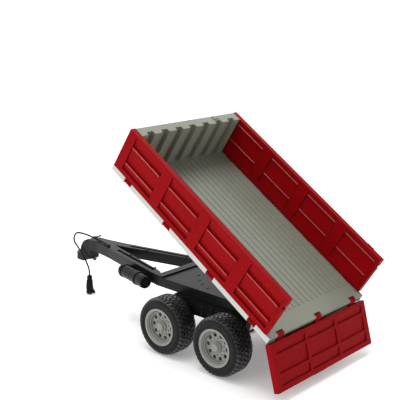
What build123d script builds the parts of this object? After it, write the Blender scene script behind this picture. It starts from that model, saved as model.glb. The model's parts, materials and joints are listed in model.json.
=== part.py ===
from build123d import *

import os
from math import asin, atan2, cos, degrees, hypot, pi, radians, sin

# A toy-scale tandem-axle tipping trailer. Millimetres. +X points to the hitch, +Y to the left,
# +Z up, and z = 0 is the ground. The origin is on the ground, midway along the trailer.
# The bed stands tipped, its side walls closed and its tailgate hanging open.

# ---------------------------------------------------------------- driving dimensions
# Wheels and axles
wheelbase = 76.0
tyre_radius = 31.0
tyre_width = 27.2
tyre_outer_span = 161.0
tyre_shoulder = 5.0
tread_groove_width = 1.6
tread_groove_depth = 1.4
bead_radius = 18.4
rim_lip_height = 1.5
rim_lip_width = 1.6
rim_wall = 1.8
disc_inset = 6.2
disc_thickness = 2.4
hand_hole_count = 10
hand_hole_radius = 2.1
hand_hole_circle = 12.4
hub_radius = 6.4
hub_end_inset = 0.1
axle_radius = 2.0
running_clearance = 0.06
axle_end_inset = 3.2
clip_radius = 3.2
clip_thickness = 1.2
clip_gap = 0.4              # between a clip and the rim's disc
cap_radius = 5.6
cap_inset = 1.0

# Chassis
chassis_top = 68.0
chassis_depth = 12.0
deck_half_width = 40.0
deck_drop = 1.5
deck_front = 120.5          # ahead of the rear axle
deck_rear = -12.0
cross_strip = 9.5
wall = 2.4
rib_offset = 15.0           # inner ribs that carry the ram
tip_hinge_x = -27.0
tip_hinge_drop = 20.0       # below the chassis top
tip_pin_radius = 2.0
tip_boss_radius = 6.0
rail_tail = 8.0             # rails run this far behind the tip hinge
deck_slots = [(88.0, 6.5), (76.0, 18.5), (66.0, 24.5), (54.0, 29.5)]
ram_well_length = 44.0
deck_slot_length = 5.0
deck_slot_width = 1.6

# Drawbar and hitch
drawbar_front = 266.0
drawbar_nose_half_width = 8.5
arm_shoulder_reach = 10.0   # the drawbar's rear plate, ahead of the deck
throat = 227.0              # where the two arms meet
arm_rear_outer = 37.5
arm_rear_inner = 27.0
arm_front_outer = 14.0
arm_rim_width = 4.4
arm_channel_width = 4.4
arm_channel_depth = 2.2
arm_channel_insets = (2.0, 14.0)
arm_tab_x = 146.0
arm_tab_size = 6.0
head_half_width = 7.0
head_drop = 25.0
head_step = 0.4             # the head's top below the drawbar's
head_front = 284.0          # its nose, above the eye
head_shoulder = (13.5, 6.0)  # behind the nose: forward of the drawbar's end, below the chassis top
eye_front = 295.0
eye_half_width = 6.5
eye_drop = 30.0             # its underside, below the chassis top
eye_height = 9.0
eye_bore_radius = 2.75
eye_length = 16.0
draw_pin_radius = 1.5
draw_pin_stop = 0.6         # between the pin's end and the eye's bore

# Air tank
tank_radius = 7.0
tank_length = 51.0
tank_rear = 127.0
tank_gap = 1.2
tank_drop = 9.5             # its axis, below the chassis top
strap_setbacks = (7.0, 37.0)        # behind the tank's front end
strap_width = 3.0
strap_wall = 0.9

# Suspension
carrier_inner = 36.0
carrier_thickness = 9.0
carrier_overhang = 12.0
carrier_depth = 16.0
boss_radius = 7.0
wheel_gap = 0.6
leaf_count = 4
leaf_thickness = 1.5
leaf_pitch = 2.3
leaf_width = 3.6

# Bed
tip_angle = 31.95
floor_length = 249.3
floor_width = 160.8
rail_height = 7.3
rail_width = 6.0
floor_skin = 2.4
bed_clearance = 6.3         # bed underside above the chassis top, with the bed lowered
bed_overhang = 28.2         # behind the tip hinge
rib_count = 18
rib_height = 0.5
rib_width = 2.6
smooth_margin = 8.0
edge_chamfer = 1.0
rear_chamfer = 0.3          # smaller under the rear edge, beside the hanging tailgate
wall_height = 48.2
wall_thickness = 5.7
wall_gap = 0.95
wall_proud = 2.0            # side walls stand outside the floor edge by this much
wall_rear_inset = 5.6
wall_front_inset = 1.8
gate_height = 47.4
gate_thickness = 5.7
gate_overhang = 1.0         # tailgate beyond each floor edge
gate_proud = 0.5
gate_open_angle = 131.65
front_wall_depth = 13.8
corrugation_count = 7
corrugation_depth = 4.4
wall_rear_frame = 4.0
wall_front_frame = 11.0
top_frame = 3.2
bottom_frame = 5.0
post_width = 13.0
panel_count = 4
outer_recess = 2.2
inner_recess = 1.7
panel_rib = 2.2
panel_rib_levels = (13.3, 33.4)     # outside, above the wall's lower edge
inner_rib_levels = (20.3, 41.4)
latch_drop = 11.0           # latch notch below the wall's top edge
peg_radius = 1.2
peg_length = 2.2
peg_setback = 5.0
gate_frame_side = 7.5
gate_top_frame = 5.0
gate_bottom_frame = 4.2
gate_post = 4.0
gate_panel_count = 3
gate_rib_levels = (12.6, 31.6)      # from the tailgate's hinge edge

# Hinges of the walls and the tailgate
hinge_inset = 2.0
hinge_height = 3.8
hinge_eye_radius = 2.6
hinge_pin_radius = 1.0
hinge_lug_width = 10.0
hinge_clearance = 0.3
hinge_pin_length = 17.0
side_lugs_from_rear = (25.0, 88.0)
side_lugs_from_front = (91.3, 26.3)
gate_lug_inset = 18.4

# Tipping ram
ram_x = 38.0
ram_pivot_drop = 10.0       # below the chassis top
bed_pin_rise = 22.0         # bed pin above the tip hinge with the bed lowered
barrel_wall = 1.6
barrel_below = 24.0
barrel_above = 4.6
stage_wall = 1.9
rod_radius = 4.8
ram_fit = 0.1
trunnion_radius = 2.0
rod_eye_radius = 3.8
bed_pin_radius = 1.5
bed_pin_clearance = 0.55

# Hose
hose_radius = 1.0
plug_height = 23.5
plug_top_radius = 3.0
plug_bottom_radius = 4.3
plug_lift = 1.0

# Screws
screw_radius = 0.9
screw_head_radius = 1.5
screw_head_height = 1.0
screw_length = 5.6
drawbar_screw_length = 4.4
saddle = 3.0                # depth of the subframe's cross members
subframe_screws_from_rear = (28.0, 120.0)
subframe_screws_from_front = (79.3, 29.3)
subframe_screw_offset = 14.0
drawbar_screw_offset = 36.0
drawbar_screw_drops = (9.0, 5.8)

# ---------------------------------------------------------------- derived places
theta = radians(tip_angle)
tip_hinge_z = chassis_top - tip_hinge_drop
ram_pivot_z = chassis_top - ram_pivot_drop
tank_axis_z = chassis_top - tank_drop
eye_bottom = chassis_top - eye_drop
floor_lowered_z = chassis_top + bed_clearance
rim_lip_radius = bead_radius + rim_lip_height
stage_radius = rod_radius + ram_fit + stage_wall
barrel_radius = stage_radius + ram_fit + barrel_wall
gate_width = floor_width + 2 * gate_overhang
side_lug_places = [*side_lugs_from_rear, *(floor_length - place for place in side_lugs_from_front)]
gate_lug_places = [-floor_width / 2 + gate_lug_inset, 0.0, floor_width / 2 - gate_lug_inset]
subframe_screw_stations = [
    *subframe_screws_from_rear,
    *(floor_length - place for place in subframe_screws_from_front),
]
gate_fall = radians(180.0 - gate_open_angle - tip_angle)   # tailgate from the vertical


def turned(point, pivot, angle):
    """Turn a point of the side view about a pivot, nose up."""
    dx, dz = point[0] - pivot[0], point[1] - pivot[1]
    return (
        pivot[0] + dx * cos(angle) - dz * sin(angle),
        pivot[1] + dx * sin(angle) + dz * cos(angle),
    )


tip_hinge = (tip_hinge_x, tip_hinge_z)
bed_corner = turned((tip_hinge_x - bed_overhang, floor_lowered_z), tip_hinge, theta)


def on_bed(u, w):
    """Side-view point of a bed place: u along the floor from its rear edge, w above its underside."""
    return (
        bed_corner[0] + u * cos(theta) - w * sin(theta),
        bed_corner[1] + u * sin(theta) + w * cos(theta),
    )


wall_base = rail_height + wall_gap
gate_opened = radians(gate_open_angle)
gate_hinge = on_bed(hinge_inset, hinge_height)
gate_closed_corner = on_bed(-gate_proud, wall_base)
gate_corner = turned(gate_closed_corner, gate_hinge, gate_opened)
gate_free_edge_x = gate_corner[0] - gate_height * sin(gate_fall)
gate_rear_x = gate_free_edge_x - gate_thickness * cos(gate_fall)
wall_rear_x = on_bed(wall_rear_inset, wall_base + wall_height)[0]
origin_x = (min(gate_rear_x, wall_rear_x) + eye_front) / 2


def at(x):
    """Row X of a place measured from the rear axle."""
    return x - origin_x


deck_level = chassis_top - deck_drop
rail_bottom = chassis_top - chassis_depth
tip_pivot = (at(tip_hinge_x), tip_hinge_z)

bed_frame = Plane(
    origin=(at(bed_corner[0]), 0, bed_corner[1]),
    x_dir=(cos(theta), 0, sin(theta)),
    z_dir=(-sin(theta), 0, cos(theta)),
)
bed_side = Plane(origin=bed_frame.origin, x_dir=bed_frame.x_dir, z_dir=(0, -1, 0))
gate_face = Plane(
    origin=(at(gate_corner[0]), 0, gate_corner[1]),
    x_dir=(0, 1, 0),
    z_dir=(-cos(gate_fall), 0, sin(gate_fall)),
)

# Tipping ram: both pins are equally far from the tip hinge.
ram_arm = hypot(ram_x - tip_hinge_x, ram_pivot_z - tip_hinge_z)
lower_angle = atan2(ram_pivot_z - tip_hinge_z, ram_x - tip_hinge_x)
upper_angle = asin(bed_pin_rise / ram_arm)
closed_reach = 2 * ram_arm * sin((upper_angle - lower_angle) / 2)
open_reach = 2 * ram_arm * sin((upper_angle - lower_angle + theta) / 2)
ram_stroke = open_reach - closed_reach
stage_stroke = ram_stroke / 2
ram_lean = (lower_angle + upper_angle + theta) / 2
ram_frame = Plane(
    origin=(at(ram_x), 0, ram_pivot_z),
    x_dir=(cos(ram_lean), 0, sin(ram_lean)),
    z_dir=(-sin(ram_lean), 0, cos(ram_lean)),
)
subframe_screw_places = [
    (station, side * subframe_screw_offset, -saddle)
    for station in subframe_screw_stations
    for side in (-1, 1)
]
drawbar_screw_places = [
    Location((at(deck_front) - wall, side * drawbar_screw_offset, chassis_top - drop), (0, 90, 0))
    for drop in drawbar_screw_drops
    for side in (-1, 1)
]


def export(builder, name):
    """Label a finished piece and write it as its node's STEP file."""
    builder.part.label = name
    export_step(builder.part, f"parts/{name}.step")


os.makedirs("parts", exist_ok=True)

# ---------------------------------------------------------------- chassis frame
side_view = Plane.XZ        # normal towards -Y

with BuildPart() as chassis_frame:
    # Side rails and the front and rear closing walls
    rail_start = at(tip_hinge_x - rail_tail)
    with BuildSketch(Plane.XY.offset(rail_bottom)):
        with Locations(((at(deck_front) + rail_start) / 2, 0)):
            Rectangle(at(deck_front) - rail_start, 2 * deck_half_width)
            Rectangle(at(deck_front) - rail_start + 1, 2 * (deck_half_width - wall), mode=Mode.SUBTRACT)
        with Locations((at(deck_front) - wall / 2, 0), (at(deck_rear) + wall / 2, 0)):
            Rectangle(wall, 2 * deck_half_width)
        for side in (-1, 1):
            with Locations(((at(deck_front) + at(deck_rear)) / 2, side * rib_offset)):
                Rectangle(deck_front - deck_rear, wall)
    extrude(amount=deck_level - rail_bottom)
    # Deck plate
    with BuildSketch(Plane.XY.offset(deck_level - wall)):
        with Locations(((at(deck_front) + at(deck_rear)) / 2, 0)):
            Rectangle(deck_front - deck_rear, 2 * deck_half_width)
    extrude(amount=wall)
    # Raised strip across the front
    with BuildSketch(Plane.XY.offset(deck_level)):
        with Locations((at(deck_front) - cross_strip / 2, 0)):
            Rectangle(cross_strip, 2 * deck_half_width)
    extrude(amount=deck_drop)
    # Hinge bosses at the tail of the rails, and ram bosses under the inner ribs
    with BuildSketch(side_view):
        with BuildLine():
            Polyline(
                (at(tip_hinge_x) - tip_boss_radius, tip_hinge_z),
                (at(tip_hinge_x) - rail_tail, rail_bottom + wall),
                (at(tip_hinge_x) + 2.2 * tip_boss_radius, rail_bottom + wall),
                (at(tip_hinge_x) + tip_boss_radius * 0.75, tip_hinge_z - tip_boss_radius * 0.66),
                close=True,
            )
        make_face()
        with Locations(tip_pivot):
            Circle(tip_boss_radius)
    extrude(amount=deck_half_width, both=True)
    with Locations((at(tip_hinge_x), 0, tip_hinge_z)):
        Box(
            6 * tip_boss_radius,
            2 * (deck_half_width - wall - 1.2),
            4 * tip_boss_radius,
            mode=Mode.SUBTRACT,
        )
    for side in (-1, 1):
        with BuildSketch(side_view.offset(-side * rib_offset)):
            with Locations((at(ram_x), ram_pivot_z)):
                Circle(trunnion_radius + 3)
                Rectangle(
                    2 * trunnion_radius + 6,
                    deck_level - wall - ram_pivot_z,
                    align=(Align.CENTER, Align.MIN),
                )
        extrude(amount=wall / 2, both=True)
    # Well for the ram, bores for its trunnions and for the tip hinge pin
    ram_well = 2 * (rib_offset - wall / 2)
    with Locations((at(ram_x), 0, deck_level)):
        Box(ram_well_length, ram_well, 3 * wall, mode=Mode.SUBTRACT)
    with Locations(Location((at(ram_x), 0, ram_pivot_z), (90, 0, 0))):
        Cylinder(trunnion_radius + running_clearance, 2 * rib_offset + 2 * wall, mode=Mode.SUBTRACT)
    with Locations(Location((at(tip_hinge_x), 0, tip_hinge_z), (90, 0, 0))):
        Cylinder(tip_pin_radius, 2 * deck_half_width + 2, mode=Mode.SUBTRACT)
    # Slots in the deck
    slot_places = [(at(x), side * y) for x, y in deck_slots for side in (-1, 1)]
    with BuildSketch(Plane.XY.offset(deck_level)):
        with Locations(*slot_places):
            SlotOverall(deck_slot_length, deck_slot_width, rotation=90)
    extrude(amount=-wall, mode=Mode.SUBTRACT)
    with Locations(*drawbar_screw_places):
        Cylinder(screw_radius, 4 * wall, mode=Mode.SUBTRACT)
export(chassis_frame, "chassis_frame")

# ---------------------------------------------------------------- drawbar
arm_shoulder = deck_front + arm_shoulder_reach
arm_slope = (arm_rear_outer - arm_front_outer) / (throat - 2 - arm_shoulder)


def arm_outer(x):
    """Half width of the drawbar over its arms at a place ahead of the rear axle."""
    return arm_rear_outer - (x - arm_shoulder) * arm_slope


drawbar_outline = [
    (at(deck_front), deck_half_width - 0.5),
    (at(arm_shoulder), arm_rear_outer),
    (at(throat - 2), arm_front_outer),
    (at(drawbar_front - 14), drawbar_nose_half_width + 0.8),
    (at(drawbar_front), drawbar_nose_half_width),
]
throat_outline = [
    (at(deck_front), arm_rear_inner + 7),
    (at(deck_front) + 2.5, arm_rear_inner + 3),
    (at(arm_shoulder), arm_rear_inner),
    (at(throat), 0.6),
]
mirrored_outline = [(x, -y) for x, y in reversed(drawbar_outline)]
mirrored_throat = [(x, -y) for x, y in throat_outline]

with BuildPart() as drawbar:
    with BuildSketch(Plane.XY.offset(rail_bottom)) as drawbar_plan:
        with BuildLine():
            Polyline(
                *drawbar_outline, *mirrored_outline, *mirrored_throat, *reversed(throat_outline), close=True
            )
        make_face()
    extrude(amount=chassis_depth)
    # Hollow from below
    with BuildSketch(Plane.XY.offset(rail_bottom)):
        add(drawbar_plan.sketch)
        offset(amount=-wall, kind=Kind.INTERSECTION, mode=Mode.REPLACE)
    extrude(amount=chassis_depth - arm_channel_depth - wall, mode=Mode.SUBTRACT)
    # Channel along the top of each arm
    channel_ends = (arm_shoulder + arm_channel_insets[0], throat - arm_channel_insets[1])
    for side in (-1, 1):
        inner_edge = [arm_outer(x) - arm_rim_width for x in channel_ends]
        with BuildSketch(Plane.XY.offset(chassis_top)):
            with BuildLine():
                Polyline(
                    (at(channel_ends[0]), side * inner_edge[0]),
                    (at(channel_ends[1]), side * inner_edge[1]),
                    (at(channel_ends[1]), side * (inner_edge[1] - arm_channel_width)),
                    (at(channel_ends[0]), side * (inner_edge[0] - arm_channel_width)),
                    close=True,
                )
            make_face()
        extrude(amount=-arm_channel_depth, mode=Mode.SUBTRACT)
    # Tab under each arm
    for side in (-1, 1):
        with Locations((at(arm_tab_x), side * (arm_outer(arm_tab_x) - wall / 2 - 0.2), rail_bottom)):
            Box(arm_tab_size, wall, arm_tab_size)
    with Locations(*drawbar_screw_places):
        Cylinder(screw_radius, 4 * wall, mode=Mode.SUBTRACT)
export(drawbar, "drawbar")

# ---------------------------------------------------------------- hitch
eye_centre_x = eye_front - eye_half_width
eye_top = eye_bottom + eye_height
head_rear = drawbar_front
eye_rear = eye_front - eye_length
draw_pin_z = eye_bottom + eye_height / 2
head_top = chassis_top - head_step

with BuildPart() as hitch_head:
    with BuildSketch(side_view):
        with BuildLine():
            ThreePointArc(
                (at(head_rear + 5), head_top),
                (at(head_rear + head_shoulder[0]), chassis_top - head_shoulder[1]),
                (at(head_front), eye_top + 4),
            )
            Polyline(
                (at(head_front), eye_top + 4),
                (at(head_front), eye_top),
                (at(eye_rear), eye_top),
                (at(eye_rear), chassis_top - head_drop - 2.5),
                (at(head_rear + 5), chassis_top - head_drop),
                (at(head_rear), chassis_top - head_drop),
                (at(head_rear), head_top),
                (at(head_rear + 5), head_top),
            )
        make_face()
    extrude(amount=head_half_width, both=True)
    with Locations(Location((at(eye_rear), 0, draw_pin_z), (0, 90, 0))):
        Cylinder(draw_pin_radius, 40, mode=Mode.SUBTRACT)
export(hitch_head, "hitch_head")

with BuildPart() as towing_block:
    with BuildSketch(Plane.XY.offset(eye_bottom)):
        with Locations((at(eye_centre_x), 0)):
            Circle(eye_half_width)
        with Locations((at(eye_rear), 0)):
            Rectangle(eye_centre_x - eye_rear, 2 * eye_half_width, align=(Align.MIN, Align.CENTER))
    extrude(amount=eye_height)
    with Locations((at(eye_centre_x), 0, eye_bottom)):
        Cylinder(eye_bore_radius, 3 * eye_height, mode=Mode.SUBTRACT)
    with Locations(Location((at(eye_rear), 0, draw_pin_z), (0, 90, 0))):
        Cylinder(
            draw_pin_radius,
            eye_centre_x - eye_rear - eye_bore_radius - draw_pin_stop,
            align=(Align.CENTER, Align.CENTER, Align.MIN),
            mode=Mode.SUBTRACT,
        )
export(towing_block, "towing_block")

with BuildPart() as draw_pin:
    with Locations(Location((at(head_rear), 0, draw_pin_z), (0, 90, 0))):
        Cylinder(
            draw_pin_radius,
            eye_centre_x - head_rear - eye_bore_radius - draw_pin_stop,
            align=(Align.CENTER, Align.CENTER, Align.MIN),
        )
    with Locations(Location((at(head_rear), 0, draw_pin_z), (0, 90, 0))):
        Cylinder(draw_pin_radius + 1, 1.2, align=(Align.CENTER, Align.CENTER, Align.MAX))
export(draw_pin, "draw_pin")

# Rod that keeps the hose on the drawbar, standing on the flat top of the head
guide_foot_x, guide_y = 270.0, -4.6
guide_lean = 66.0           # from upright, towards the rear
guide_length = 12.0
guide_radius = 0.9
guide_axis = Location((at(guide_foot_x), guide_y, head_top), (0, -guide_lean, 0))
with BuildPart() as hose_guide:
    with Locations(guide_axis):
        Cylinder(guide_radius, 2 * guide_length)
    fillet(hose_guide.edges().sort_by(Axis.Z)[-1], radius=guide_radius * 0.6)
    split(bisect_by=Plane.XY.offset(head_top), keep=Keep.TOP)
    with Locations((at(guide_foot_x), guide_y, head_top)):
        Cylinder(guide_radius * 2, 1.2, align=(Align.CENTER, Align.CENTER, Align.MIN))
export(hose_guide, "hose_guide")

# ---------------------------------------------------------------- hose, its socket and its plug
hose_level = chassis_top + hose_radius + 0.5
plug_x, plug_y = 263.0, 11.0
plug_top = plug_lift + plug_height
socket_x, socket_y = 234.0, 8.4
hose_route = [
    (socket_x, socket_y, hose_level),
    (244.0, 5.6, hose_level),
    (254.0, 3.8, hose_level + 0.2),
    (264.0, 3.0, hose_level + 0.9),
    (274.0, 3.2, hose_level + 1.9),
    (284.5, 4.2, hose_level + 2.6),
    (294.5, 6.0, hose_level + 1.4),
    (296.0, 7.6, hose_level - 9.0),
    (288.0, 9.0, hose_level - 13.0),
    (280.0, 9.8, hose_level - 19.0),
    (273.0, 10.3, hose_level - 25.0),
    (267.5, 10.8, hose_level - 31.5),
    (plug_x, plug_y, plug_top + 6.5),
    (plug_x, plug_y, plug_top),
]
route = [Vector(at(x), y, z) for x, y, z in hose_route]


def corner_radii(points, share=0.45):
    """Arc at each inner point: share of its shorter run over the tangent of half the turn."""
    radii = []
    for before, corner, after in zip(points, points[1:], points[2:]):
        first, second = corner - before, after - corner
        half_turn = radians(first.get_angle(second)) / 2
        radii.append(share * min(first.length, second.length) * cos(half_turn) / sin(half_turn))
    return radii


hose_radii = corner_radii(route)
print("hose radii", [round(radius, 1) for radius in hose_radii])

with BuildPart() as hose:
    with BuildLine() as hose_line:
        FilletPolyline(*route, radius=hose_radii)
    with BuildSketch(Plane(origin=hose_line.line @ 0, z_dir=hose_line.line % 0)):
        Circle(hose_radius)
    sweep()
hose_length = sum(edge.length for edge in hose_line.edges())
volume_ratio = hose.part.volume / (pi * hose_radius**2 * hose_length)
print("hose length", round(hose_length, 1), "volume ratio", round(volume_ratio, 4))
export(hose, "hose")

socket_direction = (route[1] - route[0]).normalized()
socket_plane = Plane(origin=route[0], x_dir=(0, 0, 1), z_dir=socket_direction)
with BuildPart() as hose_socket:
    with Locations(socket_plane.location):
        Cylinder(hose_radius + 0.5, 5.0, align=(Align.CENTER, Align.CENTER, Align.MAX))
    with BuildSketch(Plane.XY.offset(chassis_top)):
        foot = route[0] - socket_direction * 2.5
        with Locations((foot.X, foot.Y)):
            SlotOverall(8.0, 4.0, rotation=degrees(atan2(socket_direction.Y, socket_direction.X)))
    extrude(amount=hose_level - chassis_top)
    with Locations(socket_plane.location):
        Box(20, 20, 20, align=(Align.CENTER, Align.CENTER, Align.MIN), mode=Mode.SUBTRACT)
export(hose_socket, "hose_socket")

with BuildPart() as hose_plug:
    with BuildSketch(Plane(origin=(at(plug_x), plug_y, 0), x_dir=(1, 0, 0), z_dir=(0, -1, 0))):
        with BuildLine():
            Polyline(
                (0, plug_lift),
                (plug_bottom_radius - 0.8, plug_lift),
                (plug_bottom_radius, plug_lift + 1.2),
                (plug_bottom_radius, plug_lift + 3.6),
                (plug_top_radius + 0.4, plug_top - 4.5),
                (plug_top_radius, plug_top - 1.0),
                (plug_top_radius - 1.0, plug_top),
                (0, plug_top),
                close=True,
            )
        make_face()
    revolve(axis=Axis((at(plug_x), plug_y, 0), (0, 0, 1)))
export(hose_plug, "hose_plug")

catch_angle = 200.0
catch_x = at(plug_x) + plug_bottom_radius * cos(radians(catch_angle))
catch_y = plug_y + plug_bottom_radius * sin(radians(catch_angle))
catch_plane = Plane(
    origin=(catch_x, catch_y, plug_lift),
    x_dir=(cos(radians(catch_angle)), sin(radians(catch_angle)), 0),
    z_dir=(sin(radians(catch_angle)), -cos(radians(catch_angle)), 0),
)
with BuildPart() as plug_catch:
    with BuildSketch(catch_plane):
        with BuildLine():
            Polyline((-0.6, 1.4), (2.6, 1.0), (3.0, 2.4), (1.2, 5.2), (-0.6, 7.2), close=True)
        make_face()
    extrude(amount=1.1, both=True)
    add(hose_plug.part, mode=Mode.SUBTRACT)
export(plug_catch, "plug_catch")

# ---------------------------------------------------------------- air tank on the left arm
arm_direction = Vector(1, -arm_slope, 0).normalized()
arm_outward = Vector(arm_slope, 1, 0).normalized()
tank_offset = tank_radius + strap_wall + tank_gap
tank_foot = Vector(at(tank_rear), arm_outer(tank_rear), tank_axis_z) + arm_outward * tank_offset
tank_axis = Plane(origin=tank_foot, x_dir=(0, 0, 1), z_dir=arm_direction)

with BuildPart() as air_tank:
    with BuildSketch(tank_axis):
        Circle(tank_radius)
    extrude(amount=tank_length)
    fillet(air_tank.faces().sort_by(Axis.X)[-1].edges(), radius=tank_radius * 0.35)
    fillet(air_tank.faces().sort_by(Axis.X)[0].edges(), radius=tank_radius * 0.12)
export(air_tank, "air_tank")

with BuildPart() as tank_straps:
    for setback in strap_setbacks:
        with BuildSketch(tank_axis.offset(tank_length - setback)):
            Circle(tank_radius + strap_wall)
            Rectangle(2 * tank_radius * 0.7, tank_offset, align=(Align.CENTER, Align.MIN))
            Circle(tank_radius, mode=Mode.SUBTRACT)
        extrude(amount=strap_width)
    add(drawbar.part, mode=Mode.SUBTRACT)
export(tank_straps, "tank_straps")

# ---------------------------------------------------------------- suspension, axles
axle_places = {"rear": at(0.0), "front": at(wheelbase)}
wheel_inner_y = tyre_outer_span / 2 - tyre_width
carrier_outer = carrier_inner + carrier_thickness

with BuildPart() as suspension_left:
    with BuildSketch(side_view.offset(-carrier_inner)):
        with BuildLine():
            Polyline(
                (axle_places["rear"] - carrier_overhang, rail_bottom),
                (axle_places["front"] + carrier_overhang, rail_bottom),
                (axle_places["front"] + carrier_overhang, rail_bottom - 5),
                (axle_places["front"] + boss_radius, tyre_radius),
                (axle_places["front"] - boss_radius, tyre_radius),
                (axle_places["front"] - 2 * boss_radius, rail_bottom - carrier_depth),
                (axle_places["rear"] + 2 * boss_radius, rail_bottom - carrier_depth),
                (axle_places["rear"] + boss_radius, tyre_radius),
                (axle_places["rear"] - boss_radius, tyre_radius),
                (axle_places["rear"] - carrier_overhang, rail_bottom - 5),
                close=True,
            )
        make_face()
        for place in axle_places.values():
            with Locations((place, tyre_radius)):
                Circle(boss_radius)
    extrude(amount=-carrier_thickness)
    # Hub bosses that set the wheels out
    for place in axle_places.values():
        with BuildSketch(side_view.offset(-carrier_outer)):
            with Locations((place, tyre_radius)):
                Circle(boss_radius)
        extrude(amount=-(wheel_inner_y - carrier_outer - wheel_gap))
    # Leaf springs, longest on top
    for leaf in range(leaf_count):
        leaf_length = wheelbase - 2 * boss_radius - 6 - 7 * leaf
        leaf_z = rail_bottom - 1.4 - leaf * leaf_pitch
        with Locations((at(wheelbase / 2), carrier_outer, leaf_z)):
            Box(leaf_length, leaf_width, leaf_thickness, align=(Align.CENTER, Align.MIN, Align.MAX))
    for place in axle_places.values():
        with Locations(Location((place, 0, tyre_radius), (90, 0, 0))):
            Cylinder(axle_radius, 3 * deck_half_width, mode=Mode.SUBTRACT)
export(suspension_left, "suspension_left")

with BuildPart() as suspension_right:
    mirror(suspension_left.part, about=Plane.XZ)
export(suspension_right, "suspension_right")

axle_half_length = tyre_outer_span / 2 - axle_end_inset
for name, place in axle_places.items():
    with BuildPart() as axle:
        with Locations(Location((place, 0, tyre_radius), (90, 0, 0))):
            Cylinder(axle_radius, 2 * axle_half_length)
    export(axle, f"{name}_axle")

# ---------------------------------------------------------------- wheels, modelled with +Z outwards
outer_face = 0.0
inner_face = -tyre_width
tread_groove_places = [-tyre_width * share for share in (0.26, 0.5, 0.74)]

with BuildPart() as tyre:
    with BuildSketch(Plane.XZ):
        with BuildLine():
            Polyline(
                (bead_radius, inner_face + 1),
                (bead_radius, -rim_lip_width),
                (rim_lip_radius, -rim_lip_width),
                (rim_lip_radius, -0.8),
                (rim_lip_radius + 1.5, outer_face),
                (tyre_radius - tyre_shoulder, outer_face),
            )
            RadiusArc(
                (tyre_radius - tyre_shoulder, outer_face), (tyre_radius, -tyre_shoulder), tyre_shoulder
            )
            Line((tyre_radius, -tyre_shoulder), (tyre_radius, inner_face + tyre_shoulder))
            RadiusArc(
                (tyre_radius, inner_face + tyre_shoulder),
                (tyre_radius - tyre_shoulder, inner_face),
                tyre_shoulder,
            )
            Polyline(
                (tyre_radius - tyre_shoulder, inner_face),
                (rim_lip_radius, inner_face),
                (bead_radius, inner_face + 1),
            )
        make_face()
        with Locations(*[(tyre_radius, place) for place in tread_groove_places]):
            Rectangle(2 * tread_groove_depth, tread_groove_width, mode=Mode.SUBTRACT)
    revolve(axis=Axis.Z)

with BuildPart() as rim:
    with BuildSketch(Plane.XZ):
        with BuildLine():
            Polyline(
                (bead_radius - rim_wall, inner_face + 1.5),
                (bead_radius, inner_face + 1.5),
                (bead_radius, -rim_lip_width),
                (rim_lip_radius, -rim_lip_width),
                (rim_lip_radius, -0.3),
                (bead_radius - 0.6, -0.3),
                (bead_radius - rim_wall, -rim_lip_width - 1.2),
                close=True,
            )
        make_face()
    revolve(axis=Axis.Z)

with BuildPart() as disc:
    with BuildSketch(Plane.XY.offset(-disc_inset)):
        Circle(bead_radius - rim_wall)
        Circle(hub_radius, mode=Mode.SUBTRACT)
        with PolarLocations(hand_hole_circle, hand_hole_count):
            Circle(hand_hole_radius, mode=Mode.SUBTRACT)
    extrude(amount=-disc_thickness)

with BuildPart() as hub:
    with BuildSketch(Plane.XY.offset(-disc_inset)):
        Circle(hub_radius)
        Circle(axle_radius + running_clearance, mode=Mode.SUBTRACT)
    extrude(amount=-(tyre_width - disc_inset - hub_end_inset))

with BuildPart() as hub_cap:
    with BuildSketch(Plane.XZ):
        with BuildLine():
            Polyline(
                (clip_radius + 0.5, -disc_inset),
                (cap_radius, -disc_inset),
                (cap_radius, -disc_inset + 1.6),
                (cap_radius - 1.0, -disc_inset + 2.4),
                (cap_radius - 1.6, -cap_inset - 0.6),
                (cap_radius - 2.4, -cap_inset),
                (0, -cap_inset),
                (0, -cap_inset - 1.4),
                (clip_radius + 0.5, -cap_inset - 1.4),
                close=True,
            )
        make_face()
    revolve(axis=Axis.Z)

with BuildPart() as axle_clip:
    with Locations((0, 0, -disc_inset + clip_gap)):
        Cylinder(clip_radius, clip_thickness, align=(Align.CENTER, Align.CENTER, Align.MIN))
        Cylinder(axle_radius, 3 * clip_thickness, mode=Mode.SUBTRACT)

wheel_locations = {
    f"{end}_{hand}": Plane(
        origin=(axle_places[end], side * tyre_outer_span / 2, tyre_radius),
        x_dir=(1, 0, 0),
        z_dir=(0, side, 0),
    ).location
    for end in ("front", "rear")
    for hand, side in (("left", 1), ("right", -1))
}
wheel_pieces = {"tyre": tyre, "rim": rim, "disc": disc, "hub": hub, "hub_cap": hub_cap}
for place, location in wheel_locations.items():
    for name, source in wheel_pieces.items():
        with BuildPart() as wheel_piece:
            with Locations(location):
                add(source.part)
        export(wheel_piece, f"{place}_{name}")

with BuildPart() as axle_clips:
    with Locations(*wheel_locations.values()):
        add(axle_clip.part)
export(axle_clips, "axle_clips")

# ---------------------------------------------------------------- tip hinge and ram
with BuildPart() as tip_hinge_pin:
    with Locations(Location((at(tip_hinge_x), 0, tip_hinge_z), (90, 0, 0))):
        Cylinder(tip_pin_radius, 2 * deck_half_width)
export(tip_hinge_pin, "tip_hinge_pin")

with BuildPart(ram_frame) as ram_barrel:
    with Locations((0, 0, -barrel_below)):
        Cylinder(barrel_radius, barrel_below + barrel_above, align=(Align.CENTER, Align.CENTER, Align.MIN))
    with Locations(Location((0, 0, 0), (90, 0, 0))):
        Cylinder(trunnion_radius, 2 * rib_offset + wall)
    with Locations((0, 0, -barrel_below + barrel_wall)):
        Cylinder(
            stage_radius + ram_fit,
            barrel_below + barrel_above,
            align=(Align.CENTER, Align.CENTER, Align.MIN),
            mode=Mode.SUBTRACT,
        )
export(ram_barrel, "ram_barrel")

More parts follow.
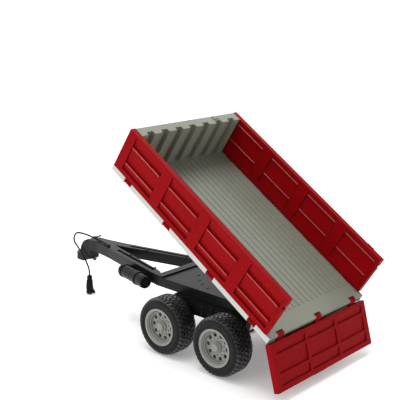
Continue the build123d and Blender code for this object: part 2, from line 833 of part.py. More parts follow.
stage_base = -barrel_below + barrel_wall + 0.4 + stage_stroke
stage_top = barrel_above + 1.4 + stage_stroke
with BuildPart(ram_frame) as ram_stage:
    with Locations((0, 0, stage_base)):
        Cylinder(stage_radius, stage_top - stage_base, align=(Align.CENTER, Align.CENTER, Align.MIN))
    with Locations((0, 0, stage_base + barrel_wall)):
        Cylinder(
            rod_radius + ram_fit,
            stage_top - stage_base,
            align=(Align.CENTER, Align.CENTER, Align.MIN),
            mode=Mode.SUBTRACT,
        )
export(ram_stage, "ram_stage")

rod_base = -barrel_below + 2 * barrel_wall + 0.8 + ram_stroke
eye_level = open_reach
with BuildPart(ram_frame) as ram_rod:
    with Locations((0, 0, rod_base)):
        Cylinder(
            rod_radius,
            eye_level - bed_pin_radius - bed_pin_clearance - 0.5 - rod_base,
            align=(Align.CENTER, Align.CENTER, Align.MIN),
        )
    with Locations(Location((0, 0, eye_level), (90, 0, 0))):
        Cylinder(rod_eye_radius, 2 * (rod_radius - 0.8))
        Cylinder(bed_pin_radius + bed_pin_clearance, 4 * rod_radius, mode=Mode.SUBTRACT)
export(ram_rod, "ram_rod")

# ---------------------------------------------------------------- bed subframe
subframe_rail_offset = 20.0
subframe_rail_depth = 5.6
subframe_rail_width = 4.0
subframe_start = 14.0
subframe_front = floor_length - 13.3
lug_inner = 29.0
lug_outer = 35.0
bed_pin_cheek = rod_radius + 0.5
tip_hinge_on_bed = (bed_overhang, tip_hinge_z - floor_lowered_z)
bed_pin_on_bed = (
    ram_arm * cos(upper_angle) + bed_overhang,
    tip_hinge_z + bed_pin_rise - floor_lowered_z,
)

with BuildPart(bed_frame) as bed_subframe:
    for side in (-1, 1):
        with Locations((subframe_start, side * subframe_rail_offset, 0)):
            Box(
                subframe_front - subframe_start,
                subframe_rail_width,
                subframe_rail_depth,
                align=(Align.MIN, Align.CENTER, Align.MAX),
            )
    with Locations((12, 0, 0)):
        Box(32, 2 * lug_outer, saddle, align=(Align.MIN, Align.CENTER, Align.MAX))
    for station in subframe_screw_stations[1:]:
        with Locations((station, 0, 0)):
            Box(6, 2 * subframe_rail_offset, saddle, align=(Align.CENTER, Align.CENTER, Align.MAX))
    # Cheeks for the ram's top pin
    for side in (-1, 1):
        middle = side * (bed_pin_cheek + 1.5)
        with BuildSketch(bed_side.offset(-middle)):
            with BuildLine():
                Polyline(
                    (bed_pin_on_bed[0] - 9, 0),
                    (bed_pin_on_bed[0] + 9, 0),
                    (bed_pin_on_bed[0] + 3.6, bed_pin_on_bed[1]),
                    (bed_pin_on_bed[0] - 3.6, bed_pin_on_bed[1]),
                    close=True,
                )
            make_face()
            with Locations(bed_pin_on_bed):
                Circle(3.6)
        extrude(amount=1.5, both=True)
    for place in (-10, 10):
        with Locations((bed_pin_on_bed[0] + place, 0, 0)):
            Box(4, 2 * subframe_rail_offset, saddle, align=(Align.CENTER, Align.CENTER, Align.MAX))
    with Locations(Location((bed_pin_on_bed[0], 0, bed_pin_on_bed[1]), (90, 0, 0))):
        Cylinder(bed_pin_radius, 4 * bed_pin_cheek, mode=Mode.SUBTRACT)
    with Locations(*subframe_screw_places):
        Cylinder(screw_radius, 3 * saddle, mode=Mode.SUBTRACT)
export(bed_subframe, "bed_subframe")

with BuildPart(bed_frame) as tip_lugs:
    for side in (-1, 1):
        middle = side * (lug_inner + lug_outer) / 2
        with BuildSketch(bed_side.offset(-middle)):
            with BuildLine():
                Polyline(
                    (14, -saddle),
                    (40, -saddle),
                    (tip_hinge_on_bed[0] + tip_boss_radius, tip_hinge_on_bed[1]),
                    (tip_hinge_on_bed[0] - tip_boss_radius, tip_hinge_on_bed[1]),
                    close=True,
                )
            make_face()
            with Locations(tip_hinge_on_bed):
                Circle(tip_boss_radius)
                Circle(tip_pin_radius + running_clearance, mode=Mode.SUBTRACT)
        extrude(amount=(lug_outer - lug_inner) / 2, both=True)
export(tip_lugs, "tip_lugs")

with BuildPart(bed_frame) as ram_top_pin:
    with Locations(Location((bed_pin_on_bed[0], 0, bed_pin_on_bed[1]), (90, 0, 0))):
        Cylinder(bed_pin_radius, 2 * (bed_pin_cheek + 3))
export(ram_top_pin, "ram_top_pin")

# ---------------------------------------------------------------- bed floor
half_floor = floor_width / 2
notch_depth = hinge_inset + hinge_eye_radius + 0.4
side_notch_depth = wall_thickness - wall_proud - 0.1     # stays under the side wall
notch_width = hinge_lug_width + 2 * hinge_clearance
side_hinge_y = half_floor - hinge_inset
front_wall_rear = floor_length - front_wall_depth
ribbed_half_width = half_floor - rail_width - smooth_margin
rib_pitch = 2 * ribbed_half_width / (rib_count - 1)
rib_start, rib_end = 20.0, front_wall_rear - 4

with BuildPart(bed_frame) as bed_floor:
    Box(floor_length, floor_width, rail_height, align=(Align.MIN, Align.CENTER, Align.MIN))
    upwards, forwards = Axis((0, 0, 0), bed_frame.z_dir), Axis((0, 0, 0), bed_frame.x_dir)
    chamfer(bed_floor.faces().sort_by(upwards)[0].edges().sort_by(forwards)[1:], length=edge_chamfer)
    chamfer(bed_floor.faces().sort_by(upwards)[0].edges().sort_by(forwards)[0], length=rear_chamfer)
    with Locations((rail_width, 0, 0)):
        Box(
            floor_length - 2 * rail_width,
            floor_width - 2 * rail_width,
            rail_height - floor_skin,
            align=(Align.MIN, Align.CENTER, Align.MIN),
            mode=Mode.SUBTRACT,
        )
    # Pads under the floor that the subframe is screwed to
    for station in subframe_screw_stations:
        with Locations((station, 0, 0)):
            Box(6, floor_width - rail_width, rail_height, align=(Align.CENTER, Align.CENTER, Align.MIN))
    with Locations(*subframe_screw_places):
        Cylinder(
            screw_radius, screw_length, align=(Align.CENTER, Align.CENTER, Align.MIN), mode=Mode.SUBTRACT
        )
    # Fine ribs along the loading surface
    for rib in range(rib_count):
        with Locations((rib_start, -ribbed_half_width + rib * rib_pitch, rail_height)):
            Box(rib_end - rib_start, rib_width, rib_height, align=(Align.MIN, Align.CENTER, Align.MIN))
    # Notches for the wall and tailgate lugs
    for side in (-1, 1):
        for place in side_lug_places:
            with Locations((place, side * half_floor, 0)):
                Box(notch_width, 2 * side_notch_depth, 3 * rail_height, mode=Mode.SUBTRACT)
            with Locations(Location((place, side * side_hinge_y, hinge_height), (0, 90, 0))):
                Cylinder(hinge_eye_radius + 0.4, notch_width, mode=Mode.SUBTRACT)
    for place in gate_lug_places:
        with Locations((0, place, 0)):
            Box(2 * notch_depth, notch_width, 3 * rail_height, mode=Mode.SUBTRACT)
    # Holes for the hinge pins
    for side in (-1, 1):
        for place in side_lug_places:
            with Locations(Location((place, side * side_hinge_y, hinge_height), (0, 90, 0))):
                Cylinder(hinge_pin_radius, hinge_pin_length, mode=Mode.SUBTRACT)
    for place in gate_lug_places:
        with Locations(Location((hinge_inset, place, hinge_height), (90, 0, 0))):
            Cylinder(hinge_pin_radius, hinge_pin_length, mode=Mode.SUBTRACT)
export(bed_floor, "bed_floor")

for hand, side in (("left", 1), ("right", -1)):
    with BuildPart(bed_frame) as wall_pins:
        for place in side_lug_places:
            with Locations(Location((place, side * side_hinge_y, hinge_height), (0, 90, 0))):
                Cylinder(hinge_pin_radius, hinge_pin_length)
    export(wall_pins, f"{hand}_wall_pins")

with BuildPart(bed_frame) as tailgate_pins:
    for place in gate_lug_places:
        with Locations(Location((hinge_inset, place, hinge_height), (90, 0, 0))):
            Cylinder(hinge_pin_radius, hinge_pin_length)
export(tailgate_pins, "tailgate_pins")

# ---------------------------------------------------------------- side walls
wall_start = wall_rear_inset
wall_end = floor_length - wall_front_inset
wall_length = wall_end - wall_start
wall_outer = half_floor + wall_proud
wall_top = wall_base + wall_height
latch_height = wall_top - latch_drop
peg_place = wall_end - peg_setback
panel_pitch = (wall_length - wall_rear_frame - wall_front_frame + post_width) / panel_count
panel_length = panel_pitch - post_width
panel_height = wall_height - top_frame - bottom_frame
panel_middle = wall_base + bottom_frame + panel_height / 2
panel_places = [
    wall_start + wall_rear_frame + panel_length / 2 + panel * panel_pitch for panel in range(panel_count)
]
wall_faces = [
    (wall_outer, outer_recess, panel_rib_levels),
    (wall_outer - wall_thickness, -inner_recess, inner_rib_levels),
]

with BuildPart(bed_frame) as left_wall:
    with Locations((wall_start, wall_outer, wall_base)):
        Box(wall_length, wall_thickness, wall_height, align=(Align.MIN, Align.MAX, Align.MIN))
    # Recessed panels, each with two ribs outside and two inside
    for face_y, depth, levels in wall_faces:
        with BuildSketch(bed_side.offset(-face_y)):
            with Locations(*[(place, panel_middle) for place in panel_places]):
                Rectangle(panel_length, panel_height)
            with Locations(*[(wall_start + wall_length / 2, wall_base + level) for level in levels]):
                Rectangle(wall_length, panel_rib, mode=Mode.SUBTRACT)
        extrude(amount=depth, mode=Mode.SUBTRACT)
    # Hinge lugs
    for place in side_lug_places:
        with BuildSketch(
            Plane(
                origin=bed_frame.from_local_coords((place, 0, 0)),
                x_dir=(0, 1, 0),
                z_dir=bed_frame.x_dir,
            )
        ):
            with Locations((side_hinge_y, hinge_height)):
                Circle(hinge_eye_radius)
            with Locations((side_hinge_y, (hinge_height + wall_base + 1) / 2)):
                Rectangle(2 * (hinge_eye_radius - 1.4), wall_base + 1 - hinge_height)
            with Locations((side_hinge_y, hinge_height)):
                Circle(hinge_pin_radius + running_clearance, mode=Mode.SUBTRACT)
        extrude(amount=hinge_lug_width / 2, both=True)
    # Notch for the tailgate latch, hole for the front peg, and the bead outside the top edge
    with Locations((wall_start, wall_outer, latch_height)):
        Box(3.4, 3 * wall_thickness, 3.2, mode=Mode.SUBTRACT)
    with Locations(Location((peg_place, wall_outer - wall_thickness, latch_height), (90, 0, 0))):
        Cylinder(peg_radius + 0.4, 2 * (peg_length + 0.5), mode=Mode.SUBTRACT)
    with Locations(Location((wall_start + 20, wall_outer - 0.6, wall_top - 0.6), (0, 90, 0))):
        Cylinder(1.2, 9)
export(left_wall, "left_wall")

with BuildPart() as right_wall:
    mirror(left_wall.part, about=Plane.XZ)
export(right_wall, "right_wall")

# ---------------------------------------------------------------- front wall
end_gap = 0.5
front_half = wall_outer - wall_thickness - end_gap
front_depth = front_wall_depth - wall_front_inset - 0.6
front_height = wall_top - rail_height
ledge = 3.0
corrugation_pitch = (2 * front_half - 2 * ledge) / corrugation_count

with BuildPart(bed_frame) as front_wall:
    with Locations((front_wall_rear, 0, rail_height)):
        Box(front_depth, 2 * front_half, front_height, align=(Align.MIN, Align.CENTER, Align.MIN))
    # Hollow behind the corrugations, open to the front
    with Locations((front_wall_rear + corrugation_depth + wall, 0, rail_height + wall)):
        Box(
            front_depth,
            2 * (front_half - wall),
            front_height - 2 * wall,
            align=(Align.MIN, Align.CENTER, Align.MIN),
            mode=Mode.SUBTRACT,
        )
    # Corrugations of the inner face
    for fold in range(corrugation_count):
        middle = -front_half + ledge + (fold + 0.5) * corrugation_pitch
        half_root = corrugation_pitch * 0.20
        half_mouth = corrugation_pitch * 0.255
        with BuildSketch(bed_frame.offset(rail_height)):
            with BuildLine():
                Polyline(
                    (front_wall_rear, middle - half_mouth),
                    (front_wall_rear, middle + half_mouth),
                    (front_wall_rear + corrugation_depth, middle + half_root),
                    (front_wall_rear + corrugation_depth, middle - half_root),
                    close=True,
                )
            make_face()
        extrude(amount=front_height, mode=Mode.SUBTRACT)
    # Ribs across the hollow, and the small pad on the top edge
    for place in (-front_half / 3, front_half / 3):
        with Locations((front_wall_rear + corrugation_depth, place, rail_height)):
            Box(
                front_depth - corrugation_depth - 1.5,
                wall,
                front_height,
                align=(Align.MIN, Align.CENTER, Align.MIN),
            )
    with Locations((front_wall_rear + front_depth - 3, -front_half * 0.55, wall_top)):
        Box(4, 8, 1.0, align=(Align.CENTER, Align.CENTER, Align.MIN))
export(front_wall, "front_wall")

with BuildPart(bed_frame) as wall_pegs:
    for side in (-1, 1):
        with Locations(
            Location((peg_place, side * front_half, latch_height), (-90 * side, 0, 0))
        ):
            Cylinder(peg_radius, peg_length, align=(Align.CENTER, Align.CENTER, Align.MIN))
export(wall_pegs, "wall_pegs")

# ---------------------------------------------------------------- tailgate
gate_panel_pitch = (gate_width - 2 * gate_frame_side + gate_post) / gate_panel_count
gate_panel_width = gate_panel_pitch - gate_post
gate_panel_height = gate_height - gate_top_frame - gate_bottom_frame
gate_panel_middle = gate_bottom_frame + gate_panel_height / 2
gate_axis = (hinge_height - wall_base, hinge_inset + gate_proud)
gate_panel_places = [
    (-gate_width / 2 + gate_frame_side + gate_panel_width / 2 + panel * gate_panel_pitch, gate_panel_middle)
    for panel in range(gate_panel_count)
]

with BuildPart(gate_face) as tailgate:
    Box(gate_width, gate_height, gate_thickness, align=(Align.CENTER, Align.MIN, Align.MIN))
    with BuildSketch(gate_face):
        with Locations(*gate_panel_places):
            Rectangle(gate_panel_width, gate_panel_height)
        with Locations(*[(0, level) for level in gate_rib_levels]):
            Rectangle(gate_width, panel_rib, mode=Mode.SUBTRACT)
    extrude(amount=outer_recess, mode=Mode.SUBTRACT)
    with BuildSketch(gate_face.offset(gate_thickness)):
        with Locations(*gate_panel_places):
            Rectangle(gate_panel_width, gate_panel_height)
        with Locations(*[(0, level) for level in gate_rib_levels]):
            Rectangle(gate_width, panel_rib, mode=Mode.SUBTRACT)
    extrude(amount=-inner_recess, mode=Mode.SUBTRACT)
    # Grip on the free edge
    with Locations((10, gate_height, 0)):
        Box(20, 1.8, 2.4, align=(Align.CENTER, Align.MIN, Align.MIN))
    # Hinge lugs
    for place in gate_lug_places:
        with BuildSketch(
            Plane(
                origin=gate_face.from_local_coords((place, 0, 0)),
                x_dir=gate_face.y_dir,
                z_dir=(0, 1, 0),
            )
        ):
            with Locations(gate_axis):
                Circle(hinge_eye_radius)
            with Locations((gate_axis[0] / 2 + 0.5, gate_axis[1])):
                Rectangle(1 - gate_axis[0], 2 * (hinge_eye_radius - 1))
            with Locations(gate_axis):
                Circle(hinge_pin_radius + running_clearance, mode=Mode.SUBTRACT)
        extrude(amount=hinge_lug_width / 2, both=True)
export(tailgate, "tailgate")

# ---------------------------------------------------------------- screws
with BuildPart(bed_frame) as subframe_screws:
    with Locations(*subframe_screw_places):
        Cylinder(screw_radius, screw_length, align=(Align.CENTER, Align.CENTER, Align.MIN))
        Cylinder(screw_head_radius, screw_head_height, align=(Align.CENTER, Align.CENTER, Align.MAX))
export(subframe_screws, "subframe_screws")

with BuildPart() as drawbar_screws:
    with Locations(*drawbar_screw_places):
        Cylinder(screw_radius, drawbar_screw_length, align=(Align.CENTER, Align.CENTER, Align.MIN))
        Cylinder(screw_head_radius, screw_head_height, align=(Align.CENTER, Align.CENTER, Align.MAX))
export(drawbar_screws, "drawbar_screws")
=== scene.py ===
"""Looks of a toy-scale tandem-axle tipping trailer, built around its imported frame.

Lengths are metres in the trailer's own frame: +X to the hitch, +Y to the left, +Z up. Pieces are
drawn in millimetres in a local frame of their sub-assembly and then set in place.
"""
from __future__ import annotations

import json
import logging
import math
from collections.abc import Iterable, Sequence
from dataclasses import dataclass
from enum import Enum
from typing import ClassVar

import bmesh
import bpy
from mathutils import Matrix, Vector

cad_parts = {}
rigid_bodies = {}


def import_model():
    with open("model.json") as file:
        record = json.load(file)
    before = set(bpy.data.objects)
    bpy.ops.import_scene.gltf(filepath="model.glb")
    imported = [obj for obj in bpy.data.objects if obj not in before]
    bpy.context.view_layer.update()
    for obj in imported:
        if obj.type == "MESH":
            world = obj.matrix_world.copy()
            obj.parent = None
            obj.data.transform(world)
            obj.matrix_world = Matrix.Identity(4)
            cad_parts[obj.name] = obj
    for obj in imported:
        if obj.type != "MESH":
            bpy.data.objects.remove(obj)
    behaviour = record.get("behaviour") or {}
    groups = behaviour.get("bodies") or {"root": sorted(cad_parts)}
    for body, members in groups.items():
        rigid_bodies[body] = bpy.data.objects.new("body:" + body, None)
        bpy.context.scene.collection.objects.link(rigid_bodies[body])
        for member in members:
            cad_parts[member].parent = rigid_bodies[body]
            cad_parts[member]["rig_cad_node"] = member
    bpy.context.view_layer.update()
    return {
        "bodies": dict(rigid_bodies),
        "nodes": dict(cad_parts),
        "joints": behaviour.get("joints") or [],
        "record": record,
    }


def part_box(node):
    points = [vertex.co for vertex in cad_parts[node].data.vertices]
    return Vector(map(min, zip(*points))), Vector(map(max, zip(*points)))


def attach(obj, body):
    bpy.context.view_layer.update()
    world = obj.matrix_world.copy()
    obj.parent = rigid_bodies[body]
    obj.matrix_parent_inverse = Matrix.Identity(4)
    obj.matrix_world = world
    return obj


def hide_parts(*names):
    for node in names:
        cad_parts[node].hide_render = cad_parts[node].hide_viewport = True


LOG = logging.getLogger("tipping_trailer")
MM = 0.001
POLYMER_IOR = 1.5
SHARP_ANGLE = 25.0
POLE_RADIUS = 1e-6
Colour = tuple[float, float, float]
Outline = list[tuple[float, float]]


# ------------------------------------------------------------------ shading
class Value:
    """A number socket of a shader tree that takes part in plain arithmetic."""

    def __init__(self, sheet: "ShaderSheet", socket: bpy.types.NodeSocket) -> None:
        """Wrap a socket of the sheet's tree."""
        self.sheet = sheet
        self.socket = socket

    def _with(self, operation: str, first: object, second: object) -> "Value":
        """Add one Math node and return its result."""
        return self.sheet.math(operation, first, second)

    def __add__(self, other: object) -> "Value":
        """Sum."""
        return self._with("ADD", self, other)

    __radd__ = __add__

    def __sub__(self, other: object) -> "Value":
        """Difference."""
        return self._with("SUBTRACT", self, other)

    def __rsub__(self, other: object) -> "Value":
        """Difference, the other way round."""
        return self._with("SUBTRACT", other, self)

    def __mul__(self, other: object) -> "Value":
        """Product."""
        return self._with("MULTIPLY", self, other)

    __rmul__ = __mul__


class ShaderSheet:
    """The node tree of one material, with short ways to add nodes to it."""

    EDGE_SAMPLES: ClassVar[int] = 6
    EDGE_GAIN: ClassVar[float] = 5.0
    # Samples and gain of the painted shade that darkens a piece's own hollows.
    PAINTED_SHADE_SAMPLES: ClassVar[int] = 8
    PAINTED_SHADE_GAIN: ClassVar[float] = 1.6

    def __init__(self, name: str) -> None:
        """Start a material with a Principled shader.

        Args:
            name: The material's name.
        """
        self.material = bpy.data.materials.new(name)
        self.material.use_nodes = True
        self.tree = self.material.node_tree
        self.shader = self.tree.nodes["Principled BSDF"]
        coordinates = self.node("ShaderNodeTexCoord")
        self.place = coordinates.outputs["Object"]

    def node(self, kind: str, settings: dict | None = None, **sockets: object) -> bpy.types.Node:
        """Add a node.

        Args:
            kind: The node's type.
            settings: Its properties, set before its sockets.
            sockets: Values or links by socket name, with _ for a space.

        Returns:
            The new node.
        """
        node = self.tree.nodes.new(kind)
        for key, value in (settings or {}).items():
            setattr(node, key, value)
        for key, value in sockets.items():
            self.feed(node.inputs[key.replace("_", " ")], value)
        return node

    def feed(self, socket: bpy.types.NodeSocket, value: object) -> None:
        """Link a socket to another one, or set its value.

        Args:
            socket: The input to feed.
            value: A number, a colour, a socket or a Value.
        """
        if isinstance(value, Value):
            value = value.socket
        if isinstance(value, bpy.types.NodeSocket):
            self.tree.links.new(value, socket)
        else:
            socket.default_value = value

    def math(self, operation: str, first: object, second: object, clamp: bool = False) -> Value:
        """Add a Math node on two values.

        Args:
            operation: The node's operation.
            first: Its first number, socket or Value.
            second: Its second one.
            clamp: Whether the result is kept between 0 and 1.

        Returns:
            The node's result.
        """
        node = self.node("ShaderNodeMath", {"operation": operation, "use_clamp": clamp})
        self.feed(node.inputs[0], first)
        self.feed(node.inputs[1], second)
        return Value(self, node.outputs[0])

    def clamped(self, value: Value) -> Value:
        """Keep a value between 0 and 1."""
        return self.math("ADD", value, 0.0, clamp=True)

    def noise(self, size: float, detail: float = 3.0, stretch: Colour = (1.0, 1.0, 1.0)) -> Value:
        """Noise in object space.

        Args:
            size: Length of one blotch in metres.
            detail: Octaves of the noise.
            stretch: How much finer the noise is along each axis.

        Returns:
            The noise, about 0.5 on average.
        """
        mapped = self.node("ShaderNodeMapping", Vector=self.place, Scale=stretch)
        noise = self.node("ShaderNodeTexNoise", Vector=mapped.outputs[0], Scale=1.0 / size, Detail=detail)
        return Value(self, noise.outputs[0])

    def mix(self, share: Value, first: object, second: object) -> bpy.types.NodeSocket:
        """Mix two colours.

        Args:
            share: How much of the second colour there is, 0 to 1.
            first: The colour at 0.
            second: The colour at 1.

        Returns:
            The mixed colour's socket.
        """
        node = self.node("ShaderNodeMix", {"data_type": "RGBA"})
        self.feed(node.inputs[0], share)
        self.feed(node.inputs[6], first)
        self.feed(node.inputs[7], second)
        return node.outputs[2]

    def edges(self, radius: float) -> tuple[Value, bpy.types.NodeSocket]:
        """Find a surface's edges.

        Args:
            radius: Width of an edge in metres.

        Returns:
            A mask that is 1 on edges, and the rounded normal.
        """
        rounded = self.node("ShaderNodeBevel", {"samples": self.EDGE_SAMPLES}, Radius=radius)
        flat = self.node("ShaderNodeNewGeometry")
        facing = self.node("ShaderNodeVectorMath", {"operation": "DOT_PRODUCT"})
        self.feed(facing.inputs[0], rounded.outputs[0])
        self.feed(facing.inputs[1], flat.outputs["Normal"])
        mask = self.clamped((1.0 - Value(self, facing.outputs["Value"])) * self.EDGE_GAIN)
        return mask, rounded.outputs[0]

    def beyond(self, half_width: float) -> Value:
        """A mask that is 1 farther than this from the trailer's middle plane."""
        parts = self.node("ShaderNodeSeparateXYZ", Vector=self.place)
        distance = Value(self, parts.outputs["Y"])
        return self.math("GREATER_THAN", distance * distance, half_width * half_width)

    def painted_hollow_shade(self, reach: float) -> Value:
        """A painted-shade mask from ambient occlusion: 1 in a piece's own hollows, where shade falls, and 0
        on its open faces.
        """
        settings = {"samples": self.PAINTED_SHADE_SAMPLES, "only_local": True}
        shade = self.node("ShaderNodeAmbientOcclusion", settings, Distance=reach)
        return self.clamped((1.0 - Value(self, shade.outputs["AO"])) * self.PAINTED_SHADE_GAIN)

    def relief(self, height: Value, depth: float, normal: object = None) -> None:
        """Feed the shader's normal from a height.

        Args:
            height: The relief, 0 to 1.
            depth: Its depth in metres.
            normal: The normal it is added to.
        """
        bump = self.node("ShaderNodeBump", Strength=1.0, Distance=depth, Height=height)
        if normal is not None:
            self.feed(bump.inputs["Normal"], normal)
        self.feed(self.shader.inputs["Normal"], bump.outputs[0])


def rgba(colour: Colour) -> tuple[float, float, float, float]:
    """A colour with full opacity."""
    return (*colour, 1.0)


@dataclass(frozen=True)
class MouldedPlastic:
    """Injection-moulded plastic: a fine spark-eroded grain, soft edges with a painted highlight, and
    painted shade in its own hollows.
    """

    name: str
    slot: str
    colour: Colour
    deep_colour: Colour
    edge_highlight_colour: Colour
    roughness: float = 0.45
    gloss_patches: float = 0.12
    grain_size: float = 0.00035
    grain_depth: float = 0.00003
    edge_radius: float = 0.0004
    edge_highlight_share: float = 0.5
    specular: float = 0.22
    painted_shade_reach: float = 0.006
    painted_shade_share: float = 0.6
    painted_light_flank: float = 0.0
    painted_light_flank_colour: Colour = (0.60, 0.62, 0.58)
    cloud_size: float = 0.045
    flow_size: float = 0.012
    flow_stretch: Colour = (1.0, 2.5, 1.0)
    grain_gloss: float = 0.06
    painted_shade_darkness: float = 0.25

    def material(self) -> bpy.types.Material:
        """Build the finish."""
        sheet = ShaderSheet(self.name)
        shader = sheet.shader
        shader.inputs["IOR"].default_value = POLYMER_IOR
        shader.inputs["Specular IOR Level"].default_value = self.specular
        edge, rounded = sheet.edges(self.edge_radius)
        cloud = sheet.noise(self.cloud_size, 2.0)
        flow = sheet.noise(self.flow_size, 4.0, self.flow_stretch)
        grain = sheet.noise(self.grain_size, 2.0)
        blend = sheet.clamped(cloud * 0.7 + flow * 0.5 - 0.1)
        body = sheet.mix(blend, rgba(self.deep_colour), rgba(self.colour))
        # Painted light: faces farther than this from the middle plane, the bed's side rails, get a much
        # lighter colour for the light they catch.
        if self.painted_light_flank:
            body = sheet.mix(sheet.beyond(self.painted_light_flank), body, rgba(self.painted_light_flank_colour))
        # Painted shade: the colour is darkened in the piece's own hollows and recesses, where shade falls.
        painted_shade_colour = rgba(tuple(self.painted_shade_darkness * part for part in self.deep_colour))
        shaded = sheet.mix(sheet.painted_hollow_shade(self.painted_shade_reach) * self.painted_shade_share, body, painted_shade_colour)
        # Painted highlight: edges are mixed towards a lighter colour, standing in for the light that
        # rounded edges catch.
        colour = sheet.mix(edge * self.edge_highlight_share, shaded, rgba(self.edge_highlight_colour))
        sheet.feed(shader.inputs["Base Color"], colour)
        rough = flow * self.gloss_patches + (self.roughness - 0.5 * self.gloss_patches)
        rough += grain * self.grain_gloss
        sheet.feed(shader.inputs["Roughness"], sheet.clamped(rough))
        sheet.relief(grain, self.grain_depth, rounded)
        return sheet.material


@dataclass(frozen=True)
class SoftRubber:
    """Matt rubber with a fine bloom in random patches, and a painted highlight on its edges."""

    name: str
    slot: str
    colour: Colour
    bloom_colour: Colour
    roughness: float = 0.68
    grain_size: float = 0.0006
    grain_depth: float = 0.00006
    specular: float = 0.2
    edge_highlight_colour: Colour = (0.03, 0.03, 0.031)
    edge_radius: float = 0.0003
    edge_highlight_share: float = 0.7
    bloom_size: float = 0.008
    bloom_matt: float = 0.18

    def material(self) -> bpy.types.Material:
        """Build the finish."""
        sheet = ShaderSheet(self.name)
        shader = sheet.shader
        shader.inputs["IOR"].default_value = POLYMER_IOR
        shader.inputs["Specular IOR Level"].default_value = self.specular
        edge, rounded = sheet.edges(self.edge_radius)
        bloom = sheet.noise(self.bloom_size, 4.0)
        grain = sheet.noise(self.grain_size)
        bloomed = sheet.mix(sheet.clamped(bloom * 1.1 - 0.25), rgba(self.colour), rgba(self.bloom_colour))
        # Painted highlight: edges are mixed towards a lighter colour, standing in for the glints on block
        # and rim edges.
        colour = sheet.mix(edge * self.edge_highlight_share, bloomed, rgba(self.edge_highlight_colour))
        sheet.feed(shader.inputs["Base Color"], colour)
        rough = bloom * self.bloom_matt + (self.roughness - 0.5 * self.bloom_matt)
        sheet.feed(shader.inputs["Roughness"], sheet.clamped(rough))
        sheet.relief(grain, self.grain_depth, rounded)
        return sheet.material


@dataclass(frozen=True)
class DrawnSteel:
    """Drawn or turned steel, with fine lines along the trailer's width."""

    name: str
    slot: str
    colour: Colour
    tarnish: Colour
    roughness: float
    edge_radius: float = 0.0002
    line_size: float = 0.0012
    line_stretch: Colour = (6.0, 0.4, 6.0)
    line_depth: float = 0.00002
    line_gloss: float = 0.2
    stain_size: float = 0.009

    def material(self) -> bpy.types.Material:
        """Build the finish."""
        sheet = ShaderSheet(self.name)
        shader = sheet.shader
        shader.inputs["Metallic"].default_value = 1.0
        _, rounded = sheet.edges(self.edge_radius)
        lines = sheet.noise(self.line_size, 3.0, self.line_stretch)
        stain = sheet.noise(self.stain_size)
        colour = sheet.mix(sheet.clamped(stain * 1.4 - 0.4), rgba(self.colour), rgba(self.tarnish))
        sheet.feed(shader.inputs["Base Color"], colour)
        rough = lines * self.line_gloss + (self.roughness - 0.5 * self.line_gloss)
        sheet.feed(shader.inputs["Roughness"], sheet.clamped(rough))
        sheet.relief(lines, self.line_depth, rounded)
        return sheet.material


class Finish(Enum):
    """The finishes of the trailer's pieces."""

    # Each moulded finish lists its colour, its deeper random tone, and a lighter colour painted on its
    # edges as a highlight.
    CHASSIS = MouldedPlastic(
        "black_chassis_plastic", "chassis_black",
        (0.014, 0.014, 0.0145), (0.009, 0.009, 0.0095), (0.08, 0.081, 0.083),
        roughness=0.27, gloss_patches=0.10, edge_highlight_share=0.4, specular=0.13,
    )
    PANEL = MouldedPlastic(
        "red_panel_plastic", "panel_red",
        (0.31, 0.0030, 0.0055), (0.245, 0.0018, 0.0034), (0.55, 0.055, 0.052),
        roughness=0.38, gloss_patches=0.10, grain_depth=0.00001, edge_highlight_share=0.6, specular=0.03,
    )
    # Painted highlight: the red panel plastic of the rib beads is made much lighter and pinker, standing in
    # for the highlight along each crest.
    RIDGE_HIGHLIGHT = MouldedPlastic(
        "red_ridge_painted_highlight", "panel_red",
        (0.52, 0.12, 0.09), (0.40, 0.07, 0.055), (0.66, 0.24, 0.18),
        roughness=0.24, gloss_patches=0.05, grain_depth=0.00001, specular=0.5, painted_shade_share=0.0,
    )
    # The bed's side rails beyond 80.2 mm take a painted light colour.
    BED = MouldedPlastic(
        "grey_bed_plastic", "bed_grey",
        (0.262, 0.275, 0.223), (0.215, 0.228, 0.182), (0.46, 0.47, 0.42),
        roughness=0.46, edge_highlight_share=0.55, painted_light_flank=0.0802,
    )
    RIM = MouldedPlastic(
        "grey_rim_plastic", "rim_grey",
        (0.31, 0.312, 0.283), (0.235, 0.237, 0.213), (0.50, 0.50, 0.46),
        roughness=0.42, edge_highlight_share=0.55,
    )
    RAM = MouldedPlastic(
        "grey_ram_plastic", "ram_grey",
        (0.16, 0.163, 0.163), (0.12, 0.123, 0.123), (0.28, 0.28, 0.28),
        roughness=0.4,
    )
    HOSE = SoftRubber(
        "black_hose_rubber", "hose_black", (0.006, 0.006, 0.0065), (0.014, 0.014, 0.015),
        roughness=0.42, specular=0.08,
    )
    TYRE = SoftRubber(
        "black_tyre_rubber", "tyre_rubber", (0.007, 0.007, 0.008), (0.016, 0.016, 0.018),
        roughness=0.52, specular=0.16, edge_highlight_colour=(0.05, 0.05, 0.052),
    )
    TREAD = SoftRubber(
        "black_tread_rubber", "tyre_rubber", (0.012, 0.012, 0.013), (0.022, 0.022, 0.024),
        roughness=0.30, specular=0.7, edge_highlight_colour=(0.10, 0.10, 0.105),
    )
    PIN = DrawnSteel("dark_pin_steel", "steel", (0.10, 0.10, 0.105), (0.05, 0.047, 0.047), 0.42)
    STEEL = DrawnSteel("bright_steel", "steel", (0.60, 0.60, 0.61), (0.42, 0.41, 0.40), 0.30)


